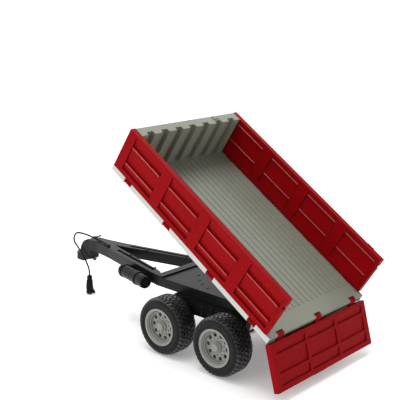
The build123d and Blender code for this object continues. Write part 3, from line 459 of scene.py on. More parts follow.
class Paintbox:
    """Hands out each finish's material, made once."""

    def __init__(self) -> None:
        """Start with no materials made."""
        self._made: dict[Finish, bpy.types.Material] = {}

    def of(self, finish: Finish) -> bpy.types.Material:
        """The material of a finish."""
        if finish not in self._made:
            self._made[finish] = finish.value.material()
        return self._made[finish]

    def dress(self, piece: bpy.types.Object, finish: Finish) -> None:
        """Give a piece one finish all over."""
        piece.data.materials.clear()
        piece.data.materials.append(self.of(finish))
        "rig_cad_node" not in piece


# ------------------------------------------------------------------ meshes
def piece_from(shape: bmesh.types.BMesh, name: str, smooth_below: float = 35.0) -> bpy.types.Object:
    """Make an object of a bmesh and free the bmesh.

    Args:
        shape: The mesh, in any units.
        name: The object's name.
        smooth_below: Edges bent by less than this many degrees are shaded smooth.

    Returns:
        The object, at the origin.
    """
    bmesh.ops.recalc_face_normals(shape, faces=shape.faces)
    mesh = bpy.data.meshes.new(name)
    shape.to_mesh(mesh)
    shape.free()
    mesh.polygons.foreach_set("use_smooth", [True] * len(mesh.polygons))
    mesh.set_sharp_from_angle(angle=math.radians(smooth_below))
    piece = bpy.data.objects.new(name, mesh)
    bpy.context.scene.collection.objects.link(piece)
    return piece


def soften(shape: bmesh.types.BMesh, width: float, segments: int = 2) -> None:
    """Bevel a bmesh's sharp edges.

    Args:
        shape: The mesh, changed in place.
        width: Width of the bevel.
        segments: Steps across it.
    """
    limit = math.radians(SHARP_ANGLE)
    sharp = [e for e in shape.edges if len(e.link_faces) == 2 and e.calc_face_angle() > limit]
    bmesh.ops.bevel(
        shape, geom=sharp, offset=width, segments=segments, affect="EDGES", profile=0.5, clamp_overlap=True
    )


def block(size: Sequence[float], centre: Sequence[float], bevel: float) -> bmesh.types.BMesh:
    """A cuboid with rounded edges.

    Args:
        size: Its length along X, Y and Z.
        centre: Its middle.
        bevel: Rounding of its edges.

    Returns:
        The cuboid as a bmesh.
    """
    shape = bmesh.new()
    bmesh.ops.create_cube(shape, size=1.0)
    bmesh.ops.scale(shape, vec=size, verts=shape.verts)
    bmesh.ops.translate(shape, vec=centre, verts=shape.verts)
    soften(shape, bevel)
    return shape


def prism(outline: Outline, start: float, end: float, bevel: float) -> bmesh.types.BMesh:
    """A closed prism along local X.

    Args:
        outline: (y, z) corners of its section.
        start: X of its first end.
        end: X of its other end.
        bevel: Rounding of its edges.

    Returns:
        The prism as a bmesh.
    """
    shape = bmesh.new()
    ends = [[shape.verts.new((x, y, z)) for y, z in outline] for x in (start, end)]
    shape.faces.new(ends[0])
    shape.faces.new(list(reversed(ends[1])))
    count = len(outline)
    for corner in range(count):
        following = (corner + 1) % count
        shape.faces.new((ends[0][corner], ends[0][following], ends[1][following], ends[1][corner]))
    bmesh.ops.recalc_face_normals(shape, faces=shape.faces)
    soften(shape, bevel, segments=1)
    return shape


def lathe(profile: Outline, steps: int) -> bmesh.types.BMesh:
    """Turn a profile about local Z.

    Args:
        profile: (radius, z) points; a radius of 0 is a pole. The profile closes on itself
            unless it starts and ends on poles.
        steps: Number of steps round.

    Returns:
        The turned shape as a bmesh.
    """
    shape = bmesh.new()
    rings = []
    angles = [2 * math.pi * step / steps for step in range(steps)]
    for radius, z in profile:
        if radius < POLE_RADIUS:
            rings.append([shape.verts.new((0, 0, z))])
            continue
        rings.append([shape.verts.new((radius * math.cos(a), radius * math.sin(a), z)) for a in angles])
    pairs = list(zip(rings, rings[1:]))
    if len(rings[0]) > 1:
        pairs.append((rings[-1], rings[0]))
    for lower, upper in pairs:
        for step in range(steps):
            following = (step + 1) % steps
            corners = [
                lower[step % len(lower)], lower[following % len(lower)],
                upper[following % len(upper)], upper[step % len(upper)],
            ]
            unique = list(dict.fromkeys(corners))
            if len(unique) > 2:
                shape.faces.new(unique)
    return shape


def joined(shapes: Iterable[bmesh.types.BMesh]) -> bmesh.types.BMesh:
    """Put several bmeshes into one and free them.

    Args:
        shapes: The bmeshes, in one frame.

    Returns:
        The new bmesh.
    """
    whole = bmesh.new()
    for shape in shapes:
        mesh = bpy.data.meshes.new("joining")
        shape.to_mesh(mesh)
        shape.free()
        whole.from_mesh(mesh)
        bpy.data.meshes.remove(mesh)
    return whole


@dataclass(frozen=True)
class LocalFrame:
    """A sub-assembly's own frame: where its origin stands, in metres, and its axes."""

    origin: Vector
    x: Vector
    y: Vector
    z: Vector

    def matrix(self) -> Matrix:
        """From local millimetres to the trailer's metres."""
        turn = Matrix((self.x, self.y, self.z)).transposed().to_4x4()
        return Matrix.Translation(self.origin) @ turn @ Matrix.Scale(MM, 4)

    def settle(self, piece: bpy.types.Object) -> bpy.types.Object:
        """Set a piece drawn in local millimetres in its place, and return it."""
        piece.data.transform(self.matrix())
        piece.data.update()
        return piece


TRAILER = LocalFrame(Vector((0, 0, 0)), Vector((1, 0, 0)), Vector((0, 1, 0)), Vector((0, 0, 1)))


# ------------------------------------------------------------------ geometry nodes
class NodeBench:
    """One Geometry Nodes tree under construction, with named inputs."""

    def __init__(self, name: str) -> None:
        """Start a tree that takes a shape and gives one back."""
        self.tree = bpy.data.node_groups.new(name, "GeometryNodeTree")
        self.ids: dict[str, str] = {}
        self.entry = self.tree.nodes.new("NodeGroupInput")
        self.exit = self.tree.nodes.new("NodeGroupOutput")
        self.add_input("Shape", "NodeSocketGeometry")
        self.tree.interface.new_socket("Shape", in_out="OUTPUT", socket_type="NodeSocketGeometry")

    def add_input(self, name: str, kind: str) -> None:
        """Add a named input of a socket type."""
        socket = self.tree.interface.new_socket(name, in_out="INPUT", socket_type=kind)
        self.ids[name] = socket.identifier

    def node(self, kind: str, settings: dict | None = None, **sockets: object) -> bpy.types.Node:
        """Add a node.

        Args:
            kind: The node's type.
            settings: Its properties, set before its sockets.
            sockets: Values or links by socket name, with _ for a space, or by _ and a number.

        Returns:
            The new node.
        """
        node = self.tree.nodes.new(kind)
        for key, value in (settings or {}).items():
            setattr(node, key, value)
        for key, value in sockets.items():
            numbered = key[1:].isdigit()
            target = node.inputs[int(key[1:]) if numbered else key.replace("_", " ")]
            if isinstance(value, bpy.types.NodeSocket):
                self.tree.links.new(value, target)
            else:
                target.default_value = value
        return node

    def finish(self, instances: bpy.types.NodeSocket) -> None:
        """End the tree in real geometry of one material."""
        real = self.node("GeometryNodeRealizeInstances", Geometry=instances)
        painted = self.node(
            "GeometryNodeSetMaterial", Geometry=real.outputs[0], Material=self.entry.outputs["Material"]
        )
        self.tree.links.new(painted.outputs[0], self.exit.inputs[0])


class Row(NodeBench):
    """Copies of a shape in a straight row."""

    def __init__(self) -> None:
        """Build the tree with its inputs Count, Step and Material."""
        super().__init__("row_of_copies")
        self.add_input("Count", "NodeSocketInt")
        self.add_input("Step", "NodeSocketVector")
        self.add_input("Material", "NodeSocketMaterial")
        line = self.node(
            "GeometryNodeMeshLine", {"mode": "OFFSET", "count_mode": "TOTAL"},
            Count=self.entry.outputs["Count"], Offset=self.entry.outputs["Step"],
        )
        copies = self.node(
            "GeometryNodeInstanceOnPoints", Points=line.outputs[0], Instance=self.entry.outputs["Shape"]
        )
        self.finish(copies.outputs[0])


class Ring(NodeBench):
    """Copies of a shape evenly round local Z."""

    def __init__(self) -> None:
        """Build the tree with its inputs Count, Turn, Phase and Material."""
        super().__init__("ring_of_copies")
        self.add_input("Count", "NodeSocketInt")
        self.add_input("Turn", "NodeSocketFloat")
        self.add_input("Phase", "NodeSocketFloat")
        self.add_input("Material", "NodeSocketMaterial")
        points = self.node("GeometryNodePoints", Count=self.entry.outputs["Count"])
        index = self.node("GeometryNodeInputIndex")
        angle = self.node(
            "ShaderNodeMath", {"operation": "MULTIPLY_ADD"},
            _0=index.outputs[0], _1=self.entry.outputs["Turn"], _2=self.entry.outputs["Phase"],
        )
        turn = self.node("ShaderNodeCombineXYZ", Z=angle.outputs[0])
        copies = self.node(
            "GeometryNodeInstanceOnPoints",
            Points=points.outputs[0], Instance=self.entry.outputs["Shape"], Rotation=turn.outputs[0],
        )
        self.finish(copies.outputs[0])


class Repeater:
    """Runs the row and ring trees on pieces and keeps the plain mesh that they give."""

    def __init__(self, paint: Paintbox) -> None:
        """Make both trees."""
        self.paint = paint
        self.row_tree = Row()
        self.ring_tree = Ring()

    def _run(
        self, piece: bpy.types.Object, bench: NodeBench, finish: Finish, **inputs: object
    ) -> bpy.types.Object:
        """Apply a tree to a piece for good.

        Args:
            piece: The shape that is repeated.
            bench: The tree.
            finish: The finish of the copies.
            inputs: The tree's inputs by name.

        Returns:
            The piece, with the tree's result as its mesh.
        """
        modifier = piece.modifiers.new(bench.tree.name, "NODES")
        modifier.node_group = bench.tree
        modifier[bench.ids["Material"]] = self.paint.of(finish)
        for name, value in inputs.items():
            modifier[bench.ids[name]] = value
        bpy.context.view_layer.update()
        graph = bpy.context.evaluated_depsgraph_get()
        mesh = bpy.data.meshes.new_from_object(piece.evaluated_get(graph))
        mesh.name = piece.name
        piece.modifiers.clear()
        piece.data = mesh
        return piece

    def row(
        self, piece: bpy.types.Object, finish: Finish, count: int, step: Sequence[float]
    ) -> bpy.types.Object:
        """Repeat a piece in a row.

        Args:
            piece: The first copy.
            finish: The finish of them all.
            count: How many copies.
            step: From one copy to the next, in the piece's units.

        Returns:
            The piece, now all the copies in one mesh.
        """
        return self._run(piece, self.row_tree, finish, Count=count, Step=list(step))

    def ring(
        self, piece: bpy.types.Object, finish: Finish, count: int, phase: float = 0.0
    ) -> bpy.types.Object:
        """Repeat a piece evenly round local Z.

        Args:
            piece: The first copy.
            finish: The finish of them all.
            count: How many copies.
            phase: Turn of the first copy, in radians.

        Returns:
            The piece, now all the copies in one mesh.
        """
        turn = 2 * math.pi / count
        return self._run(piece, self.ring_tree, finish, Count=count, Turn=turn, Phase=phase)


def merged(pieces: Sequence[bpy.types.Object], name: str) -> bpy.types.Object:
    """Merge pieces of one finish into the first and remove the others.

    Args:
        pieces: The pieces, in one frame.
        name: The new name of the first.

    Returns:
        The first piece, with the meshes of them all.
    """
    whole = bmesh.new()
    for piece in pieces:
        whole.from_mesh(piece.data)
    mesh = pieces[0].data.copy()
    whole.to_mesh(mesh)
    whole.free()
    mesh.name = name
    for piece in pieces[1:]:
        bpy.data.objects.remove(piece)
    pieces[0].data = mesh
    pieces[0].name = name
    return pieces[0]


# ------------------------------------------------------------------ the trailer's frames
@dataclass(frozen=True)
class TrailerFrames:
    """Where the sub-assemblies stand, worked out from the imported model."""

    rear_axle: Vector
    front_axle: Vector
    bed: LocalFrame
    gate: LocalFrame
    WALL_HINGE_HEIGHT: ClassVar[float] = 3.8
    GATE_OPEN: ClassVar[float] = 131.65
    GATE_HINGE_DROP: ClassVar[float] = 4.45
    GATE_HINGE_DEPTH: ClassVar[float] = 2.5

    @classmethod
    def read(cls, frame: dict) -> "TrailerFrames":
        """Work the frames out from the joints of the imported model.


        Returns:
            The axles' middles and the frames of the bed and the tailgate.
        """
        joints = {joint["name"]: joint for joint in frame["joints"]}
        forward = Vector(joints["right_wall_fold"]["axis"]).normalized()
        across = Vector((0, 1, 0))
        up = forward.cross(across)
        wall_hinge = Vector(joints["right_wall_fold"]["pos_m"])
        corner = Vector((wall_hinge.x, 0, wall_hinge.z)) - up * cls.WALL_HINGE_HEIGHT * MM
        fall = math.atan2(-forward.z, forward.x) + math.radians(180.0 - cls.GATE_OPEN)
        gate_out = Vector((-math.cos(fall), 0, math.sin(fall)))
        gate_down = Vector((-math.sin(fall), 0, -math.cos(fall)))
        hinge = Vector(joints["tailgate_fold"]["pos_m"])
        gate_corner = hinge + gate_down * cls.GATE_HINGE_DROP * MM - gate_out * cls.GATE_HINGE_DEPTH * MM
        return cls(
            rear_axle=sum(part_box("rear_axle"), Vector()) / 2,
            front_axle=sum(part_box("front_axle"), Vector()) / 2,
            bed=LocalFrame(corner, forward, across, up),
            gate=LocalFrame(gate_corner, across, gate_down, gate_out),
        )


@dataclass
class SubAssembly:
    """What every sub-assembly is built with."""

    paint: Paintbox
    repeat: Repeater
    frames: TrailerFrames


def hand(side: int) -> str:
    """Name of a side: left for 1, right for -1."""
    return "left" if side > 0 else "right"


# ------------------------------------------------------------------ wheels
@dataclass
class Wheels(SubAssembly):
    """The tyres' casings and tread blocks, and the rims' nuts and well steps. Millimetres."""

    radius: float = 31.0
    width: float = 27.2
    span: float = 161.0
    shoulder: float = 4.4
    bead: float = 19.9
    tread_depth: float = 1.5
    block_rows: int = 5
    blocks_round: int = 38
    disc_inset: float = 6.2
    nut_circle: float = 8.7
    well_outer: float = 16.5
    well_inner: float = 15.3
    well_top: float = 3.4
    well_chamfer: float = 0.5
    steps: int = 96
    corner_steps: int = 6
    block_share: float = 0.70
    block_bevel: float = 0.28
    block_gap: float = 1.1
    block_lean: float = 0.9
    block_root: float = 1.0
    shoulder_drop: float = 1.6
    tread_margin: float = 1.3
    nut_count: int = 10

    def profile(self) -> Outline:
        """Section of the tyre's casing, from its outer bead round to its inner one."""
        sidewall = (
            (0.0, -1.4), (0.2, -0.5), (1.0, -0.1), (1.6, -0.45), (2.4, -0.5), (3.0, -0.05), (4.6, 0.0),
        )
        curve = [(self.bead + out, z) for out, z in sidewall]
        corner = self.radius - self.tread_depth - self.shoulder
        for step in range(self.corner_steps + 1):
            angle = math.pi / 2 * (1 - step / self.corner_steps)
            curve.append((
                corner + self.shoulder * math.cos(angle), self.shoulder * (math.sin(angle) - 1),
            ))
        back = [(radius, -self.width - z) for radius, z in reversed(curve)]
        return curve + back

    def tread_block(self, row: int) -> bpy.types.Object:
        """One block of a tread row, leaning one way or the other.

        Args:
            row: The row's number, from the inner side.

        Returns:
            The block at the start of its row.
        """
        pitch = 2 * math.pi * self.radius / self.blocks_round
        land = (self.width - 2 * self.tread_margin) / self.block_rows
        middle = -self.width / 2 + (row - (self.block_rows - 1) / 2) * land
        long, wide = pitch * self.block_share, land - self.block_gap
        low = self.radius - self.tread_depth - self.block_root
        lean = self.block_lean * (-1) ** row
        shape = bmesh.new()
        corners = []
        for side in (-1, 1):
            outermost = row == (0 if side < 0 else self.block_rows - 1)
            high = self.radius - (self.shoulder_drop if outermost else 0.0)
            z = middle + side * wide / 2
            for end in (-1, 1):
                y = end * long / 2 + lean * side
                corners.append(shape.verts.new((low, y, z)))
                corners.append(shape.verts.new((math.sqrt(high**2 - y**2), y, z)))
        for indices in ((0, 1, 3, 2), (4, 6, 7, 5), (0, 4, 5, 1), (2, 3, 7, 6), (1, 5, 7, 3), (0, 2, 6, 4)):
            shape.faces.new([corners[i] for i in indices])
        soften(shape, self.block_bevel, segments=1)
        return piece_from(shape, f"tread_row_{row}")

    def tread(self) -> bpy.types.Object:
        """All the rows of tread blocks."""
        rows = []
        for row in range(self.block_rows):
            phase = (row % 2) * math.pi / self.blocks_round
            rows.append(self.repeat.ring(self.tread_block(row), Finish.TREAD, self.blocks_round, phase))
        return merged(rows, "tread_blocks")

    def nuts(self) -> bpy.types.Object:
        """The wheel nuts on the disc of a rim."""
        shape = lathe([(0, 1.1), (0.45, 1.1), (0.62, 0.7), (1.0, 0.62), (1.1, 0.0), (0, 0.0)], 6)
        bmesh.ops.translate(shape, vec=(self.nut_circle, 0, -self.disc_inset - 0.1), verts=shape.verts)
        nut = piece_from(shape, "wheel_nuts", 20.0)
        return self.repeat.ring(nut, Finish.RIM, self.nut_count, math.pi / self.nut_count)

    def well_step(self) -> bpy.types.Object:
        """The raised step between a rim's lip and its disc."""
        edge, foot = -self.well_top - self.well_chamfer, -self.disc_inset - 0.2
        outline = [
            (self.well_outer, edge), (self.well_outer - self.well_chamfer, -self.well_top),
            (self.well_inner + self.well_chamfer, -self.well_top), (self.well_inner, edge),
            (self.well_inner, foot), (self.well_outer, foot),
        ]
        return piece_from(lathe(outline, self.steps), "well_step")

    def build(self) -> list[bpy.types.Object]:
        """Build the tyres, nuts and well steps of all four wheels."""
        sources = {
            "rim_nuts": (merged([self.nuts(), self.well_step()], "rim_nuts"), Finish.RIM),
            "tyre_casing": (piece_from(lathe(self.profile(), self.steps), "casing", 60.0), Finish.TYRE),
            "tyre_tread": (self.tread(), Finish.TREAD),
        }
        made = []
        for end, axle in (("front", self.frames.front_axle), ("rear", self.frames.rear_axle)):
            for side in (1, -1):
                wheel = f"{end}_{hand(side)}"
                place = Vector((axle.x, side * self.span / 2 * MM, axle.z))
                outwards = Vector((0, side, 0))
                spot = LocalFrame(place, TRAILER.x, outwards.cross(TRAILER.x), outwards)
                for name, (source, finish) in sources.items():
                    copy = bpy.data.objects.new(f"{wheel}_{name}", source.data.copy())
                    bpy.context.scene.collection.objects.link(copy)
                    spot.settle(copy)
                    self.paint.dress(copy, finish)
                    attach(copy, f"wheel_{wheel}")
                    made.append(copy)
                    if finish is Finish.TYRE:
                        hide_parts(f"{wheel}_tyre")
        for source, _ in sources.values():
            bpy.data.objects.remove(source)
        return made


# ------------------------------------------------------------------ walls
@dataclass
class PressedWalls(SubAssembly):
    """Pressed bands and beads in the walls' panels, and a dark strip of painted shade on the floor's rear
    face. Millimetres.
    """

    half_floor: float = 80.4
    proud: float = 2.0
    thickness: float = 5.7
    base: float = 8.25
    height: float = 48.2
    start: float = 5.6
    end: float = 247.5
    rear_frame: float = 4.0
    front_frame: float = 11.0
    post: float = 13.0
    panels: int = 4
    top_frame: float = 3.2
    bottom_frame: float = 5.0
    ribs: tuple[float, float] = (13.3, 33.4)
    inner_ribs: tuple[float, float] = (20.3, 41.4)
    rib_width: float = 2.2
    outer_recess: float = 2.2
    inner_recess: float = 1.7
    gate_width: float = 162.8
    gate_height: float = 47.4
    gate_side: float = 7.5
    gate_post: float = 4.0
    gate_panels: int = 3
    gate_top: float = 5.0
    gate_bottom: float = 4.2
    gate_ribs: tuple[float, float] = (12.6, 31.6)
    groove: float = 0.7
    lip: float = 0.35
    knee: float = 1.5
    overlap: float = 0.3
    bead_width: float = 0.9
    bead_height: float = 0.35
    bead_root: float = 0.1
    bead_steps: int = 6
    bead_margin: float = 2.0
    bead_bevel: float = 0.1
    band_bevel: float = 0.2
    shade_strip_span: tuple[float, float] = (6.5, 55.0)
    shade_strip_depth: float = 0.9
    shade_strip_height: float = 1.6
    shade_strip_level: float = 1.2
    shade_strip_sink: float = 0.15

    def bands(self, low: float, high: float, ribs: Sequence[float]) -> list[tuple[float, float]]:
        """Split a panel's height into bands.

        Args:
            low: Height of the panel's lower edge.
            high: Height of its upper edge.
            ribs: Heights of the middles of the ribs between the bands.

        Returns:
            The lower and upper edge of each band.
        """
        edges = [low]
        for rib in ribs:
            edges += [rib - self.rib_width / 2, rib + self.rib_width / 2]
        edges.append(high)
        return list(zip(edges[::2], edges[1::2]))

    def band(self, low: float, high: float, depth: float, hollow_low: bool) -> Outline:
        """Section of one band, deep at one edge and flush at the other.

        Args:
            low: Height of its lower edge.
            high: Height of its upper edge.
            depth: Depth of the panel's recess.
            hollow_low: Whether the lower edge is the deep one.

        Returns:
            (depth from the face, height) corners.
        """
        deep, buried = depth - 0.15, depth + self.overlap
        if hollow_low:
            front = [(deep, low), (deep, low + self.knee), (self.lip, high)]
        else:
            front = [(self.lip, low), (deep, high - self.knee), (deep, high)]
        return [(buried, low), *front, (buried, high)]

    def bead(self, level: float) -> Outline:
        """Section of the bead that runs along a rib's crest: (depth from the face, height)."""
        turns = [math.pi * step / self.bead_steps for step in range(self.bead_steps + 1)]
        rise = self.bead_root + self.bead_height
        return [
            (self.bead_root - rise * math.sin(turn), level + self.bead_width / 2 * math.cos(turn))
            for turn in turns
        ]

    def across(self, outline: Outline, side: int, outer: bool) -> Outline:
        """Turn a section's depths into places across the trailer.

        Args:
            outline: (depth from the face, height) corners.
            side: 1 for the left wall, -1 for the right one.
            outer: Whether it lies on the wall's outer face.

        Returns:
            (y, z) corners in the bed's frame.
        """
        face = side * (self.half_floor + self.proud - (0 if outer else self.thickness))
        inwards = -side if outer else side
        return [(face + inwards * depth, height) for depth, height in outline]

    def side_panels(self, shapes: list[bmesh.types.BMesh], name: str, finish: Finish) -> bpy.types.Object:
        """Repeat what one panel of a side wall holds in all of them.

        Args:
            shapes: The shapes in the rearmost panel, in the bed's frame.
            name: The new piece's name.
            finish: The shapes' finish.

        Returns:
            The piece, in its place.
        """
        piece = piece_from(joined(shapes), name)
        self.repeat.row(piece, finish, self.panels, (self.side_pitch(), 0, 0))
        return self.frames.bed.settle(piece)

    def side_pitch(self) -> float:
        """From one panel of a side wall to the next."""
        return (self.end - self.start - self.rear_frame - self.front_frame + self.post) / self.panels

    def side_stretch(self, margin: float) -> tuple[float, float]:
        """Where the rearmost panel of a side wall starts and ends, less a margin at both ends."""
        first = self.start + self.rear_frame
        return first + margin, first + self.side_pitch() - self.post - margin

    def side_ribs(self, outer: bool) -> list[float]:
        """Heights of the ribs on one face of a side wall, in the bed's frame."""
        return [self.base + rib for rib in (self.ribs if outer else self.inner_ribs)]

    def side_beads(self, side: int, outer: bool) -> bpy.types.Object:
        """The beads along the ribs of one face of a side wall, in a painted-highlight colour.

        Args:
            side: 1 for the left wall, -1 for the right one.
            outer: Whether they lie on the wall's outer face.

        Returns:
            The beads as one piece.
        """
        stretch = self.side_stretch(self.bead_margin)
        shapes = []
        for level in self.side_ribs(outer):
            shapes.append(prism(self.across(self.bead(level), side, outer), *stretch, self.bead_bevel))
        name = f"{hand(side)}_wall_{'outer' if outer else 'inner'}_beads"
        return self.side_panels(shapes, name, Finish.RIDGE_HIGHLIGHT)

    def side_pressings(self, side: int, outer: bool) -> bpy.types.Object:
        """The pressed bands of one face of a side wall.

        Args:
            side: 1 for the left wall, -1 for the right one.
            outer: Whether they lie on the wall's outer face.

        Returns:
            The bands as one piece.
        """
        depth = self.outer_recess if outer else self.inner_recess
        stretch = self.side_stretch(self.groove)
        low, high = self.base + self.bottom_frame, self.base + self.height - self.top_frame
        shapes = []
        for edges in self.bands(low, high, self.side_ribs(outer)):
            outline = self.across(self.band(*edges, depth, outer), side, outer)
            shapes.append(prism(outline, *stretch, self.band_bevel))
        name = f"{hand(side)}_wall_{'outer' if outer else 'inner'}_pressings"
        return self.side_panels(shapes, name, Finish.PANEL)

    def gate_pressings(self, outer: bool) -> bpy.types.Object:
        """The pressed bands of one face of the tailgate.

        Args:
            outer: Whether they lie on the tailgate's outer face.

        Returns:
            The bands as one piece.
        """
        depth = self.outer_recess if outer else self.inner_recess
        face, inwards = (0.0, 1.0) if outer else (self.thickness, -1.0)
        pitch = (self.gate_width - 2 * self.gate_side + self.gate_post) / self.gate_panels
        start = -self.gate_width / 2 + self.gate_side + self.groove
        end = start + pitch - self.gate_post - 2 * self.groove
        shapes = []
        for edges in self.bands(self.gate_bottom, self.gate_height - self.gate_top, self.gate_ribs):
            outline = [(level, face + inwards * d) for d, level in self.band(*edges, depth, outer)]
            shapes.append(prism(outline, start, end, self.band_bevel))
        piece = piece_from(joined(shapes), f"tailgate_{'outer' if outer else 'inner'}_pressings")
        self.repeat.row(piece, Finish.PANEL, self.gate_panels, (pitch, 0, 0))
        return self.frames.gate.settle(piece)

    def rear_shade_strip(self) -> bpy.types.Object:
        """Dark strips on the floor's rear face, between the tailgate's lugs: painted shade for the dark gap
        above the tailgate.
        """
        near, far = self.shade_strip_span
        size = (self.shade_strip_depth, far - near, self.shade_strip_height)
        strips = []
        for side in (-1, 1):
            centre = (-self.shade_strip_sink, side * (near + far) / 2, self.shade_strip_level)
            strips.append(block(size, centre, 0.15))
        return self.frames.bed.settle(piece_from(joined(strips), "rear_shade_strip"))

    def build(self) -> list[bpy.types.Object]:
        """Build the pressed bands and beads of the walls and the painted-shade strip on the floor's rear
        face.
        """
        # The rear strip is painted shade in the black hose rubber.
        plan = [(self.rear_shade_strip(), "bed", Finish.HOSE)]
        for side in (1, -1):
            for outer in (True, False):
                wall = f"{hand(side)}_wall"
                plan.append((self.side_pressings(side, outer), wall, Finish.PANEL))
                plan.append((self.side_beads(side, outer), wall, Finish.RIDGE_HIGHLIGHT))
        for outer in (True, False):
            plan.append((self.gate_pressings(outer), "tailgate", Finish.PANEL))
        for piece, body, finish in plan:
            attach(piece, body)
            self.paint.dress(piece, finish)
        return [piece for piece, _, _ in plan]


# ------------------------------------------------------------------ drawbar and chassis trim
@dataclass
class ChassisTrim(SubAssembly):
    """Ribs in the drawbar's channels, spring clamps and the air tank's fittings. Millimetres."""

    chassis_top: float = 68.0
    chassis_depth: float = 12.0
    shoulder: float = 130.5
    throat: float = 227.0
    rear_half: float = 37.5
    front_half: float = 14.0
    rim: float = 4.4
    channel_width: float = 4.4
    channel_depth: float = 2.2
    channel_ribs: int = 26
    tank_rear: float = 127.0
    tank_radius: float = 7.0
    tank_gap: float = 2.1
    tank_drop: float = 9.5
    weld_places: tuple[float, ...] = (3.0, 26.0, 34.0, 47.4)
    weld_half: float = 0.5
    weld_rise: float = 0.3
    valve_place: float = 12.0
    spring_face: float = 45.0
    leaf_width: float = 3.6
    wheelbase: float = 76.0
    clamp_shift: float = 6.5
    clamp_bolts: tuple[float, float] = (-2.4, -9.4)
    pocket_places: tuple[float, float] = (137.0, 188.0)
    pocket_size: tuple[float, float] = (3.0, 2.4)
    pocket_rim: float = 0.6

    def at(self, x: float) -> float:
        """Trailer X in millimetres of a place measured from the rear axle."""
        return x + self.frames.rear_axle.x / MM

    def slope(self) -> float:
        """How fast the drawbar's arms close in towards the hitch."""
        return (self.rear_half - self.front_half) / (self.throat - 2 - self.shoulder)

    def arm(self, x: float) -> float:
        """Half width over the arms at a place ahead of the rear axle."""
        return self.rear_half - (x - self.shoulder) * self.slope()

    def channel_rungs(self, side: int) -> bpy.types.Object:
        """Transverse ribs in the channel along the top of one arm.

        Args:
            side: 1 for the left arm, -1 for the right one.

        Returns:
            The ribs as one piece.
        """
        start, end = self.shoulder + 3.2, self.throat - 15.2
        step = (end - start) / (self.channel_ribs - 1)
        middle = side * (self.arm(start) - self.rim - self.channel_width / 2)
        low = self.chassis_top - self.channel_depth - 0.3
        size = (0.9, self.channel_width + 0.3, 1.7)
        shape = block(size, (self.at(start), middle, low + size[2] / 2), 0.18)
        piece = piece_from(shape, f"drawbar_rungs_{hand(side)}")
        self.repeat.row(piece, Finish.CHASSIS, self.channel_ribs, (step, -side * self.slope() * step, 0))
        return TRAILER.settle(piece)

    def tank_frame(self) -> LocalFrame:
        """The air tank's own frame: +Z along it to the hitch, from its rear end."""
        along = Vector((1, -self.slope(), 0)).normalized()
        outward = Vector((self.slope(), 1, 0)).normalized()
        level = self.chassis_top - self.tank_drop
        foot = Vector((self.at(self.tank_rear), self.arm(self.tank_rear), level))
        origin = (foot + outward * (self.tank_radius + self.tank_gap)) * MM
        return LocalFrame(origin, TRAILER.z, along.cross(TRAILER.z), along)

    def tank_fittings(self) -> bpy.types.Object:
        """Weld beads round the tank, the rim and boss of its rear end, and its drain valve."""
        radius = self.tank_radius
        root, crest = radius - self.weld_rise, radius + self.weld_rise
        half, slant = self.weld_half, 0.6 * self.weld_half
        weld = [(root, -half), (crest - 0.08, -slant), (crest, 0.0), (crest - 0.08, slant), (root, half)]
        shapes = []
        for place in self.weld_places:
            bead = lathe(weld, 48)
            bmesh.ops.translate(bead, vec=(0, 0, place), verts=bead.verts)
            shapes.append(bead)
        cap = [
            (radius - 0.9, 0.4), (radius - 0.9, -0.5), (radius - 0.4, -0.8),
            (radius - 0.1, -0.4), (radius - 0.1, 0.4),
        ]
        shapes.append(lathe(cap, 48))
        shapes.append(lathe([(0, -0.6), (2.0, -0.6), (2.4, -0.2), (2.4, 0.4), (0, 0.4)], 24))
        valve = lathe([(0, 0.0), (1.1, 0.0), (1.1, 1.2), (0.7, 1.4), (0.7, 2.2), (0, 2.2)], 16)
        turn = Matrix.Rotation(math.radians(-90.0), 4, "Y")
        spot = Matrix.Translation((-radius + 0.4, 0, self.valve_place))
        bmesh.ops.transform(valve, matrix=spot @ turn, verts=valve.verts)
        shapes.append(valve)
        piece = piece_from(joined(shapes), "air_tank_fittings", 40.0)
        return self.tank_frame().settle(piece)

    def spring_clamps(self, side: int) -> bpy.types.Object:
        """Two clamp plates with their bolts across the leaf springs of one side.

        Args:
            side: 1 for the left side, -1 for the right one.

        Returns:
            The clamps as one piece.
        """
        shapes = []
        top = self.chassis_top - self.chassis_depth
        face = self.spring_face + self.leaf_width
        for shift in (-self.clamp_shift, self.clamp_shift):
            x = self.at(self.wheelbase / 2) + shift
            shapes.append(block((2.6, 1.2, 10.6), (x, side * (face + 0.4), top - 5.9), 0.3))
            for level in self.clamp_bolts:
                bolt = lathe([(0, 0.9), (0.7, 0.9), (1.0, 0.6), (1.0, 0.0), (0, 0.0)], 6)
                turn = Matrix.Rotation(math.radians(-90.0 * side), 4, "X")
                spot = Matrix.Translation((x, side * (face + 0.9), top + level))
                bmesh.ops.transform(bolt, matrix=spot @ turn, verts=bolt.verts)
                shapes.append(bolt)
        return TRAILER.settle(piece_from(joined(shapes), f"spring_clamps_{hand(side)}"))

    def arm_pockets(self) -> bpy.types.Object:
        """Raised collars of the two small pockets on the inner edge of each arm."""
        long, wide = self.pocket_size
        shapes = []
        for side in (-1, 1):
            for x in self.pocket_places:
                y = side * (self.arm(x) - self.rim - self.channel_width - 2.0)
                centre = Vector((self.at(x), y, self.chassis_top + 0.15))
                for end in (-1, 1):
                    short_edge = centre + Vector((end * long / 2, 0, 0))
                    long_edge = centre + Vector((0, end * wide / 2, 0))
                    shapes.append(block((self.pocket_rim, wide + 0.2, 0.7), short_edge, 0.12))
                    shapes.append(block((long + self.pocket_rim, self.pocket_rim, 0.7), long_edge, 0.12))
        return TRAILER.settle(piece_from(joined(shapes), "arm_pockets"))

